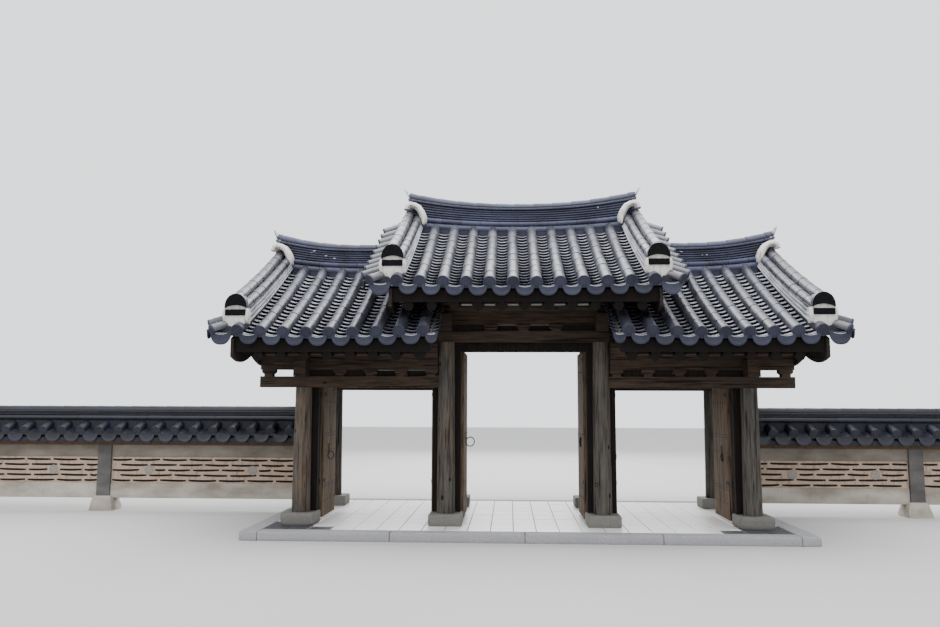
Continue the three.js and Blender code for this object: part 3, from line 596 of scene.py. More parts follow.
def make_finishes(look):
    """Makes every finish, under the short name that the pieces use."""

    def tone(colour):
        """A colour as linear RGB, from an sRGB hex value or from a property that is linear already."""
        return linear(colour) if isinstance(colour, str) else tuple(colour)

    deep = "#17110e"

    # Fired tiles, as name, darkest, palest, roughness and IOR
    tiles = {
        "tile": ("smoke_fired_roof_tile", look.tile_dark, look.tile_pale, 0.38, 1.75),
        # Pans and the ridges' flat tiles: the fired tile drawn pale and matt, a painted highlight of the
        # bright sky that their tops reflect
        "pan_tile": ("smoke_fired_pan_tile", "#88898f", "#b2b3b9", 0.42, 1.6),
        # Drips, discs and the pans' under sides: the fired tile drawn darker and duller, painted shade under
        # the eaves and under every pan's lip
        "drip_tile": ("smoke_fired_drip_tile", "#222430", "#333544", 0.5, 1.3),
        "ridge_tile": ("smoke_fired_ridge_tile", "#262838", "#3c4057", 0.5, 1.4),
        "wall_tile": ("smoke_fired_wall_tile", "#0e1018", "#1b1e2b", 0.40, 1.45),
        # Hip end face and the block under it: near-black, painted shade of a face turned down and of a
        # recess
        "end_tile": ("black_hip_end_tile", "#08080a", "#0d0d10", 0.8, 1.2),
        "edge_tile": ("smoke_fired_laid_tile", "#0d0908", "#16100d", 0.8, 1.3),
    }
    for key, (name, dark, pale, dull, gloss) in tiles.items():
        FINISHES[key] = smoked_clay_tile(name, tone(dark), tone(pale), dull, gloss)

    # Limes and clays, as name, colour and dirt
    plasters = {
        "plaster": ("lime_plaster_white", look.plaster, "#85837d"),
        "grey_plaster": ("lime_plaster_grey", "#6f6e6a", "#4c4a46"),
        # Mortar inside the ridges, the wall caps and the verge beds: drawn near-black, painted shade in the
        # gaps between and under the tiles
        "mortar": ("lime_mortar_grey", "#22232a", "#131419"),
        "joint": ("sand_joint", "#35312c", "#201d1b"),
        "clay": ("clay_plaster_panel", look.wall_plaster, "#705f4f"),
        "pointing": ("lime_pointing_pale", "#a6917f", "#8c7866"),
        "brown_clay": ("brown_clay_bed", "#55402d", "#34271c"),
    }
    for key, (name, colour, dirt) in plasters.items():
        FINISHES[key] = lime_plaster(name, tone(colour), tone(dirt))

    # Pine, as name, axis of the grain, dry wood, greyed wood, lines of the grain and wear
    timbers = {
        "column": ("weathered_pine_column", "Z", look.pine_brown, look.pine_grey, deep, 0.7),
        "beam": ("sheltered_pine_beam", "X", "#46392f", "#3c332c", deep, 0.0),
        # Rafters, roof deck and the filling between rafter tips: near-black, painted deep shade under the
        # eaves
        "rafter": ("sheltered_pine_rafter", "Y", "#140e0b", "#100d0b", "#0a0706", 0.0),
        "door": ("pine_door_plank", "Z", "#77614e", "#655543", deep, 0.2),
        # Door frames and the boards between the bearing blocks: near-black, painted shade of recessed parts
        "frame": ("dark_pine_door_frame", "Z", "#1f1814", "#1a1613", "#0d0a08", 0.2),
        "board": ("pine_gable_board", "Y", "#2c211b", "#2a2725", deep, 0.4),
        "verge_board": ("pine_verge_board_grey", "Y", "#4a4540", "#6a6762", deep, 0.9),
    }
    for key, (name, along, fresh, grey, dark, wear) in timbers.items():
        FINISHES[key] = weathered_pine(name, along, tone(fresh), tone(grey), tone(dark), wear)

    # Stones, as name, light and middle tone and flecks, then grain and roughness of the smoother ones
    stones = {
        "kerb": ("flamed_granite_kerb", "#a2a1a3", "#7e7e82", "#3c3c40"),
        "stone": ("hewn_granite_base", "#777570", "#57544e", "#2c2a27"),
        "roundel": ("granite_wall_roundel", "#938b83", "#736d67", "#3f3c38"),
        "slab": ("sawn_granite_slab", "#f0eeea", "#e0deda", "#bcb9b4", 4, 0.32),
        # Dark slabs: painted shadow band along the inside of the front kerb, thickest at its ends
        "slate": ("dark_slate_slab", "#3c3d43", "#303137", "#202126", 6, 0.4),
    }
    for key, (name, light, mid, fleck, *skin) in stones.items():
        FINISHES[key] = dressed_stone(name, tone(light), tone(mid), tone(fleck), *skin)

    # Concretes, as name, light and dark tone
    concretes = {
        "concrete": ("cast_concrete_rail", look.concrete, "#554e44"),
        "post": ("cast_concrete_post", "#5c5b59", "#3d3b38"),
        "foot": ("cast_concrete_foot_rail", "#aba59b", "#7c7468"),
    }
    for key, (name, light, dark) in concretes.items():
        FINISHES[key] = cast_concrete(name, tone(light), tone(dark))

    FINISHES["iron"] = wrought_iron("wrought_iron_blackened")
    FINISHES["paper"] = studio_paper("studio_paper_floor")


# Properties


class GateTiles(bpy.types.PropertyGroup):
    """Sizes of the roof tiling."""

    cover_radius: FloatProperty(
        name="Cover tile radius",
        description="Outer radius of a half-round cover tile",
        default=0.087,
        unit="LENGTH",
    )
    cover_count: IntProperty(
        name="Cover tiles",
        description="Cover tiles in one row, eave to ridge",
        default=9,
    )
    pan_count: IntProperty(
        name="Pan tiles",
        description="Pan tile lips in one gutter, eave to ridge",
        default=20,
    )
    pan_lip: FloatProperty(
        name="Pan lip", description="Height of one pan tile's lip", default=0.042, unit="LENGTH"
    )
    disc_radius: FloatProperty(
        name="End disc radius", description="Radius of a row's end disc", default=0.092, unit="LENGTH"
    )
    verge_pitch: FloatProperty(
        name="Verge pitch",
        description="Distance between short tiles along a verge",
        default=0.25,
        unit="LENGTH",
    )
    joint: FloatProperty(
        name="Ridge tile length",
        description="Length of one ridge course tile",
        default=0.333,
        unit="LENGTH",
    )


class GateTimber(bpy.types.PropertyGroup):
    """Sizes of the timber and its ironwork."""

    crack_depth: FloatProperty(
        name="Crack depth",
        description="Depth of the drying cracks in a column",
        default=0.017,
        unit="LENGTH",
    )
    planks: IntProperty(name="Planks", description="Planks in a leaf", default=4)
    ring_radius: FloatProperty(
        name="Ring radius", description="Radius of a side leaf's ring pull", default=0.062, unit="LENGTH"
    )


class GateLook(bpy.types.PropertyGroup):
    """Colours of the finishes."""

    tile_dark: FloatVectorProperty(
        name="Tile, dark", description="Darkest fired tile", subtype="COLOR", default=linear("#1f1f28")
    )
    tile_pale: FloatVectorProperty(
        name="Tile, pale", description="Palest fired tile", subtype="COLOR", default=linear("#3f404d")
    )
    pine_brown: FloatVectorProperty(
        name="Pine, brown", description="Pine that stays dry", subtype="COLOR", default=linear("#65574a")
    )
    pine_grey: FloatVectorProperty(
        name="Pine, grey", description="Pine greyed by rain", subtype="COLOR", default=linear("#54514c")
    )
    plaster: FloatVectorProperty(
        name="Plaster", description="White lime plaster", subtype="COLOR", default=linear("#c4c2bc")
    )
    wall_plaster: FloatVectorProperty(
        name="Wall panel",
        description="Clay plaster of the wall panels",
        subtype="COLOR",
        default=linear("#a5907e"),
    )
    concrete: FloatVectorProperty(
        name="Concrete", description="Wall rails and posts", subtype="COLOR", default=linear("#7b746a")
    )


class GateView(bpy.types.PropertyGroup):
    """Camera and light."""

    camera_place: FloatVectorProperty(
        name="Camera",
        description="Where the camera stands",
        subtype="TRANSLATION",
        default=(-0.2251, -14.172, 1.962),
    )
    yaw: FloatProperty(
        name="Yaw",
        description="Turn to the left",
        default=math.radians(2.74),
        subtype="ANGLE",
    )
    pitch: FloatProperty(
        name="Pitch",
        description="Tilt upward",
        default=math.radians(6.38),
        subtype="ANGLE",
    )
    roll: FloatProperty(
        name="Roll",
        description="Roll about the view",
        default=math.radians(0.18),
        subtype="ANGLE",
    )
    lens: FloatProperty(name="Lens", description="Focal length on a 36 mm sensor, in mm", default=31.42)
    sky: FloatProperty(name="Sky", description="Strength of the even light", default=2.0)
    key: FloatProperty(
        name="Key",
        description="Power of a soft lamp whose share is 1, in W",
        default=900.0,
    )


# Pieces


class GATE_OT_camera(bpy.types.Operator):
    """Sets up the camera at the photographed viewpoint."""

    bl_idname = "gate.camera"
    bl_label = "Camera"

    def execute(self, context):
        view = context.scene.gate_view
        data = bpy.data.cameras.new("camera")
        data.lens = view.lens
        data.sensor_width = 36.0
        data.sensor_fit = "HORIZONTAL"
        data.clip_end = 200.0
        camera = bpy.data.objects.new("camera", data)
        context.scene.collection.objects.link(camera)
        yaw, pitch, roll = view.yaw, view.pitch, view.roll
        ahead = Vector((-math.sin(yaw) * math.cos(pitch), math.cos(yaw) * math.cos(pitch), math.sin(pitch)))
        right = Vector((math.cos(yaw), math.sin(yaw), 0.0))
        up = right.cross(ahead)
        rolled = math.cos(roll) * right + math.sin(roll) * up
        turn = Matrix((rolled, rolled.cross(ahead), -ahead)).transposed().to_4x4()
        camera.matrix_world = Matrix.Translation(view.camera_place) @ turn
        context.scene.camera = camera
        return {"FINISHED"}


class GATE_OT_stage(bpy.types.Operator):
    """Lays the pale floor and sets the soft light."""

    bl_idname = "gate.stage"
    bl_label = "Floor and light"

    def execute(self, context):
        view = context.scene.gate_view
        self.floor()
        world = bpy.data.worlds.new("soft_sky")
        world.use_nodes = True
        background = world.node_tree.nodes["Background"]
        background.inputs["Color"].default_value = (*linear("#f2f4f8"), 1.0)
        background.inputs["Strength"].default_value = view.sky
        context.scene.world = world

        # Each lamp's place, diameter and share of the key power
        lamps = {
            "overhead": ((0.0, -1.0, 13.0), 16.0, 3.2),
            "left_fill": ((-12.0, -9.0, 9.0), 8.0, 0.35),
            "rear_soft": ((0.0, 16.0, 12.0), 14.0, 4.0),
        }
        for name, (place, size, share) in lamps.items():
            data = bpy.data.lights.new(name, "AREA")
            data.shape = "DISK"
            data.size = size
            data.energy = view.key * share
            lamp = bpy.data.objects.new(name, data)
            lamp.location = place
            aim = Vector((0.0, 0.0, 2.0)) - Vector(place)
            lamp.rotation_euler = aim.to_track_quat("-Z", "Y").to_euler()
            context.scene.collection.objects.link(lamp)
        return {"FINISHED"}

    def floor(self):
        """A wide sheet just under the gate's feet."""
        reach, top, thick = 60.0, -0.001, 0.019
        sheet = np.array([[(x, y, top) for x in (-reach, reach)] for y in (-reach, reach)])
        shape = Shape()
        shape.slab(sheet, sheet - thick * UP)
        floor = shape.piece("studio_floor", ["paper"])
        # Every piece rides on the gate when it is made, but the stage belongs to no body
        floor.parent = None
        del floor["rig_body"]


class GATE_OT_roof_tiles(bpy.types.Operator):
    """Lays the pan tiles, cover tiles, eave discs and drip plates of the three roofs."""

    bl_idname = "gate.roof_tiles"
    bl_label = "Roof tiles"

    def execute(self, context):
        sizes = context.scene.gate_tiles
        for roof in ROOFS:
            dice = random.Random(11 + len(roof.name))
            covers, pans = Shape(), Shape()
            for side in (-1, 1):
                for x in roof.rows:
                    self.cover_row(covers, roof, x, side, sizes, dice)
                for x, half, corner in self.gutters(roof):
                    self.pan_row(pans, roof, x, side, half, corner, sizes, dice)
            covers.piece(f"cover_tiles_{roof.name}", ["tile", "drip_tile"], slot="roof_tile")
            made, node = f"pan_tiles_{roof.name}", f"roof_tiles_{roof.name}"
            pans.piece(made, ["pan_tile", "drip_tile"], slot="roof_tile", replaces=[node])
        return {"FINISHED"}

    def gutters(self, roof):
        """Middle and half width of each gutter, and whether it is the one at a verge."""
        rows = sorted(roof.rows)
        found = [((a + b) / 2, 0.150, False) for a, b in zip(rows, rows[1:])]
        for verge in roof.verges:
            sign = 1 if verge > 0 else -1
            edge = max(rows, key=lambda x: x * sign)
            found.append((edge + sign * 0.236, 0.165, True))
        if not roof.centre:
            sign = 1 if roof.mid > 0 else -1
            inner = min(rows, key=abs)
            found.append((inner - sign * 0.125, 0.10, False))
        return found

    def cover_row(self, shape, roof, x, side, sizes, dice):
        """Cover tiles lapped from the eave up, and the disc that closes their foot."""
        radius, taper, lap, head_gap, disc_out = sizes.cover_radius, 0.005, 0.03, 0.12, 0.018
        step = EDGE_Y / sizes.cover_count
        stop = roof.row_stop(x, head_gap)
        for i in range(max(1, round(stop / step))):
            dx, dz = dice.uniform(-0.003, 0.003), dice.uniform(-0.002, 0.002)
            low = roof.at(x + dx, i * step, side, dz)
            high = roof.at(x + dx, min((i + 1) * step, stop) + lap, side, dz)
            cover_tile(shape, low, high, RIGHT, radius, radius - taper)
        foot = roof.at(x, 0.0, side)
        out = unit(foot - roof.at(x, 0.2, side))
        # The disc takes the drip finish: fired tile drawn darker as painted shade
        end_disc(shape, foot + out * disc_out, RIGHT, out, sizes.disc_radius, 1)

    def pan_row(self, shape, roof, x, side, half, corner, sizes, dice):
        """Pan tiles lapped up a gutter, with the drip plate at their mouth and the last tile's rim drawn
        pale as a painted highlight along the lip.
        """
        step, start, lap = EDGE_Y / sizes.pan_count, 0.008, 0.45
        stop = roof.row_stop(x, 0.08 if roof.centre else 0.12)
        lip = sizes.pan_lip * (0.91 if roof.centre else 1.0)
        curve, bed, jitter = half * 1.5, -0.096, 0.0015
        out = np.array([0.0, side, 0.0])
        for j in range(max(1, int(stop / step))):
            t0, t1 = max(j * step, start), min((j + 1 + lap) * step, stop)
            dx, dz = dice.uniform(-jitter, jitter), dice.uniform(-jitter, jitter)
            low = roof.at(x + dx, t0, side, bed + lip + dz)
            high = roof.at(x + dx, t1, side, bed + lip - lip * (t1 - t0) / step + dz)
            # Each pan's top takes the pale pan finish, a painted sky highlight; its under side and lip take
            # the drip finish, painted shade under the lip
            pan_tile(shape, low, high, RIGHT, half, curve, 0.016, 0, 1)
        mouth = roof.at(x, start, side, bed + lip - 0.012)
        drip_plate(shape, mouth + out * 0.008, RIGHT, out, half, curve, 0.158 if corner else 0.130, 1)
        # The last tile's rim in the pale pan finish: a painted highlight along the eave
        reach = 0.56 * half * np.linspace(-1, 1, 13)
        rise = trough(reach, curve) + 0.013
        edge = mouth + reach[:, None] * RIGHT + rise[:, None] * UP
        rim = [edge + out * 0.014 - UP * 0.018, edge - out * 0.006]
        shape.slab(rim, [line - UP * 0.005 for line in rim], 0)


class GATE_OT_verges(bpy.types.Operator):
    """Lays the short tiles across the verges, with their discs and hooked drip plates."""

    bl_idname = "gate.verges"
    bl_label = "Verge tiles"

    def execute(self, context):
        pitch = context.scene.gate_tiles.verge_pitch
        for roof in ROOFS:
            for verge in roof.verges:
                self.verge(roof, verge, pitch)
        return {"FINISHED"}

    def verge(self, roof, verge, pitch):
        """The short tiles of one verge on both slopes, and the mortar bed under the corner tiles, drawn
        near-black as painted shade.
        """
        first = 0.13
        sign = 1 if verge > 0 else -1
        shape = Shape()
        for side in (-1, 1):
            for i in range(int((EDGE_Y - 0.25) / pitch) + 1):
                t = first + i * pitch
                self.cover(shape, roof, verge, sign, side, t)
                if t + pitch / 2 < EDGE_Y - 0.1:
                    self.pan(shape, roof, verge, sign, side, t + pitch / 2)
            base = roof.axis_z(verge - sign * HIP_INSET, 0.2)
            bed = (verge - sign * 0.40, side * (EDGE_Y - 0.08), base - 0.14)
            shape.block(bed, (verge - sign * 0.14, side * (EDGE_Y - 0.42), base - 0.02), 0.01, 1)
        edge = "left" if sign < 0 else "right"
        # Discs and drip plates take the drip finish, painted shade
        shape.piece(f"verge_tiles_{roof.name}_{edge}", ["tile", "mortar", "drip_tile"], slot="roof_tile")

    def ends(self, roof, verge, sign, side, t, inset, drop_low, drop_high, skew=0.0):
        """Both ends of a verge tile; a side roof's upper tiles lie lower, behind the descending ridge."""
        outer, inner = verge - sign * inset, verge - sign * 0.38
        base = roof.at(verge - sign * HIP_INSET, t, side)[2]
        if not roof.centre:
            base -= 0.15 * min(1.0, max(0.0, (t - 0.5) / 0.3))
        low = np.array([outer, side * (EDGE_Y - t + skew), base + drop_low])
        high = np.array([inner, side * (EDGE_Y - t - skew), base + drop_high])
        return low, high

    def slope(self, roof, verge, side, t):
        """The direction up the roof along its verge."""
        return unit(roof.at(verge, t + 0.1, side) - roof.at(verge, t, side))

    def cover(self, shape, roof, verge, sign, side, t):
        """A short cover tile with its disc; the lowest one lies askew over the corner."""
        radius, disc = 0.076, 0.080
        corner = t < 0.2
        inset, drop, skew = (0.105, -0.054, 0.12) if corner else (-0.045, -0.065, 0.03)
        low, high = self.ends(roof, verge, sign, side, t, inset, drop, 0.085, skew)
        slope = self.slope(roof, verge, side, t)
        cover_tile(shape, low, high, slope, radius, radius - 0.004)
        out = unit(low - high)
        end_disc(shape, low + out * 0.010, square(slope, out), out, disc, 2)

    def pan(self, shape, roof, verge, sign, side, t):
        """Three lapped pan tiles with their drip plate."""
        half, curve = 0.105, 0.125
        slope = self.slope(roof, verge, side, t)
        for k in range(3):
            low, high = self.ends(roof, verge, sign, side, t, -0.02 + 0.1 * k, -0.125 + 0.043 * k, 0.03)
            pan_tile(shape, low + UP * 0.02, high - UP * 0.01, slope, half, curve, 0.018)
        low, _ = self.ends(roof, verge, sign, side, t, -0.02, -0.115, 0.03)
        out = np.array([float(sign), 0.0, 0.0])
        drip_plate(shape, low - out * 0.004, square(slope, out), out, half, curve, 0.10, 2)


class Hip:
    """Where a descending ridge lies: its roof and verge, the slope's side and the line under its middle."""

    # Rise of its outer and inner row over the roof, at the top and at the foot
    OUTER_ROW = (0.22, 0.34)
    INNER_ROW = (0.155, 0.265)
    # Where that foot lies, in from the eave, and how far the top lies behind it
    FOOT, RUN = 0.46, 1.94

    def __init__(self, roof, verge, side):
        self.roof = roof
        self.verge = verge
        self.side = side
        self.sign = 1 if verge > 0 else -1
        self.mid = verge - self.sign * HIP_INSET

    def at(self, u, t, up):
        """A point u out from the middle line, t in from the eave and up over the roof."""
        return self.roof.at(self.mid + self.sign * u, t, self.side, up)

    def rise(self, t, row):
        """Rise of a row over the roof, high at the eave and low at the top."""
        top, foot = row
        return foot + (top - foot) * (t - self.FOOT) / self.RUN


class GATE_OT_descending_ridges(bpy.types.Operator):
    """Builds the ridges that descend along the verges, with their end tiles and plaster."""

    bl_idname = "gate.descending_ridges"
    bl_label = "Descending ridges"

    def execute(self, context):
        finishes = ["tile", "plaster", "end_tile", "mortar", "pan_tile"]
        for roof in ROOFS:
            for verge in roof.verges:
                shape = Shape()
                for side in (-1, 1):
                    hip = Hip(roof, verge, side)
                    self.courses(shape, hip, random.Random(31 + side))
                    self.end(shape, hip)
                    self.hook(shape, hip)
                edge = "left" if verge < 0 else "right"
                shape.piece(f"descending_ridge_{roof.name}_{edge}", finishes, slot="roof_tile")
        return {"FINISHED"}

    def courses(self, shape, hip, dice):
        """Two rows of cover tiles, their mortar, and the flat tiles stacked on both flanks."""
        steps = np.linspace(0.13, EDGE_Y - 0.17, 9)
        spans = list(zip(steps, steps[1:]))
        gap = 0.004
        # Rows of cover tiles, as their shift from the middle line and their radius
        for shift, radius, row in ((0.062, 0.086, hip.OUTER_ROW), (-0.078, 0.078, hip.INNER_ROW)):
            for a, b in spans:
                low, high = hip.at(shift, a, hip.rise(a, row)), hip.at(shift, b + 0.02, hip.rise(b, row))
                cover_tile(shape, low, high, RIGHT, radius + dice.uniform(-0.002, 0.002), radius - 0.006)
        self.body(shape, hip, steps)
        # Flat tiles of the inner flank, as inner edge and share of the row's rise, then the outer flank's
        for inner, share in ((-0.180, 0.30), (-0.168, 0.52), (-0.156, 0.74), (-0.144, 0.96)):
            for a, b in spans:
                self.strip(shape, hip, a, b - gap, inner, -0.09, share, hip.INNER_ROW)
        for share in (0.12, 0.34, 0.56, 0.78):
            for a, b in spans:
                self.strip(shape, hip, a, b - gap, 0.05, 0.158, share, hip.OUTER_ROW)

    def strip(self, shape, hip, a, b, inner, outer, share, row):
        """One flat tile of the stack, lying along the slope at a share of the row's rise, in the pale pan
        finish: a painted sky highlight.
        """
        top = [[hip.at(u, t, share * hip.rise(t, row)) for u in (inner, outer)] for t in (a, b)]
        bottom = [[point - 0.020 * UP for point in line] for line in top]
        shape.slab(top, bottom, 4)

    def body(self, shape, hip, steps):
        """Mortar between the courses, drawn near-black as painted shade in the gaps."""
        rings = []
        for t in steps:
            outer, inner = hip.rise(t, hip.OUTER_ROW), hip.rise(t, hip.INNER_ROW)
            section = [(-0.13, -0.05), (0.145, -0.05), (0.145, outer)]
            section += [(0.0, outer), (-0.03, inner), (-0.12, inner)]
            rings.append([hip.at(u, t, up) for u, up in section])
        shape.loft(rings, 3)

    def end(self, shape, hip):
        """The wide last tile, its half-round face drawn black as painted shade, over plaster and a dark
        block painted in as the shade of a recess.
        """
        mid = hip.mid + hip.sign * 0.010
        base = hip.roof.axis_z(mid, 0.07)
        corner = base + 0.297
        half, height, arch = 0.163, 0.212, 0.042
        out = np.array([0.0, float(hip.side), 0.0])

        def y_at(t):
            return hip.side * (EDGE_Y - t)

        def dome(wide, tall, t, lift):
            turns = np.linspace(0, math.pi, 21)
            x = mid + wide * half * np.cos(turns)
            z = corner + lift + tall * height * np.sin(turns) ** 0.85
            return np.stack([x, np.full(len(turns), y_at(t)), z], 1)

        # The tile, narrowing into the row behind it
        sections = [(1.0, 1.0, 0.075, 0.0), (1.0, 1.0, 0.16, 0.0), (0.72, 0.78, 0.40, 0.055)]
        outer = [dome(wide, tall, t, lift) for wide, tall, t, lift in sections]
        inner = [dome(wide * 0.87, tall * 0.9, t, lift) for wide, tall, t, lift in sections]
        shape.slab(outer, inner, 0)

        # Its face, drawn black as painted shade, hollowed along the foot
        rim = dome(0.985, 0.975, 0.070, 0.0)
        foot = rim.copy()
        foot[:, 2] = corner + arch * (1 - ((rim[:, 0] - mid) / half) ** 2)
        face = [rim, (rim + foot) / 2, foot]
        shape.slab(face, [line - 0.02 * out for line in face], 2)

        # Plaster that bulges under the face and draws in towards its foot
        columns = np.linspace(-1, 1, 11)
        low_z, top_z = base - 0.105, corner + arch * (1 - columns**2) + 0.004
        front, back = [], []
        for v in np.linspace(0, 1, 9):
            width = half * (0.14 + 0.86 * min(1.0, max(0.0, v * 2.6 - 0.35)))
            bulge = 0.026 * (1 - columns**2) ** 0.5 * math.sin(math.pi * min(1, v * 1.1 + 0.05))
            x, z = mid + columns * width, low_z + (top_z - low_z) * v
            front.append(np.stack([x, y_at(0.100) + bulge * hip.side, z], 1))
            back.append(np.stack([x, np.full(len(columns), y_at(0.30)), z], 1))
        shape.slab(front, back, 1)

        # A dark block painted in as the shade of a recess, and rolls of plaster at both corners
        slip_z, reach = base + 0.232, half * 0.92
        low, high = (mid - reach, y_at(0.062), slip_z - 0.044), (mid + reach, y_at(0.16), slip_z + 0.044)
        shape.block(low, high, 0.006, 2)
        roll = [(0, 0.105), (0.022, 0.095), (0.036, 0.06), (0.041, 0.0)]
        roll += [(0.034, -0.06), (0.018, -0.1), (0, -0.11)]
        for u in (-1, 1):
            centre = np.array([mid + u * half * 0.98, y_at(0.115), base + 0.195])
            shape.turned(centre, RIGHT, -out, UP, roll, 12, None, 1)

    def hook(self, shape, hip):
        """White plaster curling over the head of the descending ridge, against the main ridge."""
        # Its outer and inner edge at the centre roof's right end, as x and height over the platform
        outer = [(2.052, 5.225), (2.030, 5.312), (1.955, 5.362), (1.855, 5.345), (1.762, 5.296)]
        outer += [(1.690, 5.195), (1.648, 5.090), (1.655, 4.995), (1.700, 4.945)]
        inner = [(1.950, 5.215), (1.938, 5.240), (1.905, 5.250), (1.868, 5.238), (1.828, 5.200)]
        inner += [(1.795, 5.130), (1.768, 5.060), (1.752, 4.995), (1.726, 4.950)]
        outer, inner = np.array(outer), np.array(inner)
        shift = abs(hip.verge) - VERGE_CENTRE + (0.0 if hip.roof.centre else 0.06)
        lift = PLATFORM_TOP - (CENTRE_RISE - hip.roof.lift)
        face, rear = 0.21, 0.09
        front, back = [], []
        for share, proud in ((0.0, 0.0), (0.12, 0.05), (0.35, 0.085), (0.65, 0.09), (0.9, 0.05), (1.0, 0.0)):
            line = outer + (inner - outer) * share
            x, z = hip.sign * (line[:, 0] + shift), line[:, 1] + lift
            front.append(np.stack([x, np.full(len(x), hip.side * (face + proud)), z], 1))
            back.append(np.stack([x, np.full(len(x), hip.side * rear), z], 1))
        shape.slab(front, back, 1)


class Ridge:
    """Where a main ridge runs: its roof, the ends of its courses and the dice for its tiles."""

    # Height of the stack from its foot to its crest, and how far its foot lies under the cover tiles' axis
    STACK, BED = 0.515, 0.12

    def __init__(self, roof, a, b, dice):
        self.roof = roof
        self.a = a
        self.b = b
        self.dice = dice

    def level(self, x, height):
        """A height in the stack as a height in the model."""
        foot = self.roof.axis_z(x, EDGE_Y) - self.BED
        return foot + (self.roof.crest_z(x) - foot) * height / self.STACK

    def cuts(self, length):
        """Ends of the tiles in one course, begun with a random part tile."""
        at = [self.a]
        x = self.a + length * self.dice.uniform(0.3, 1.0)
        while x < self.b - 0.08:
            at.append(x)
            x += length
        return list(zip(at, at[1:] + [self.b]))


def half_round(x, y, z, side, radius, facets, thick):
    """Outer and inner line of a half-round tile that lies on its flank and bulges to one side."""
    angles = np.radians(np.linspace(-95, 95, facets + 1))
    out, rise = side * radius * np.cos(angles), radius * np.sin(angles)
    at = np.full(len(angles), x)
    outer = np.stack([at, y + out, z + rise], 1)
    inner = np.stack([at, y - side * thick + 0.6 * out, z + 0.8 * rise], 1)
    return outer, inner


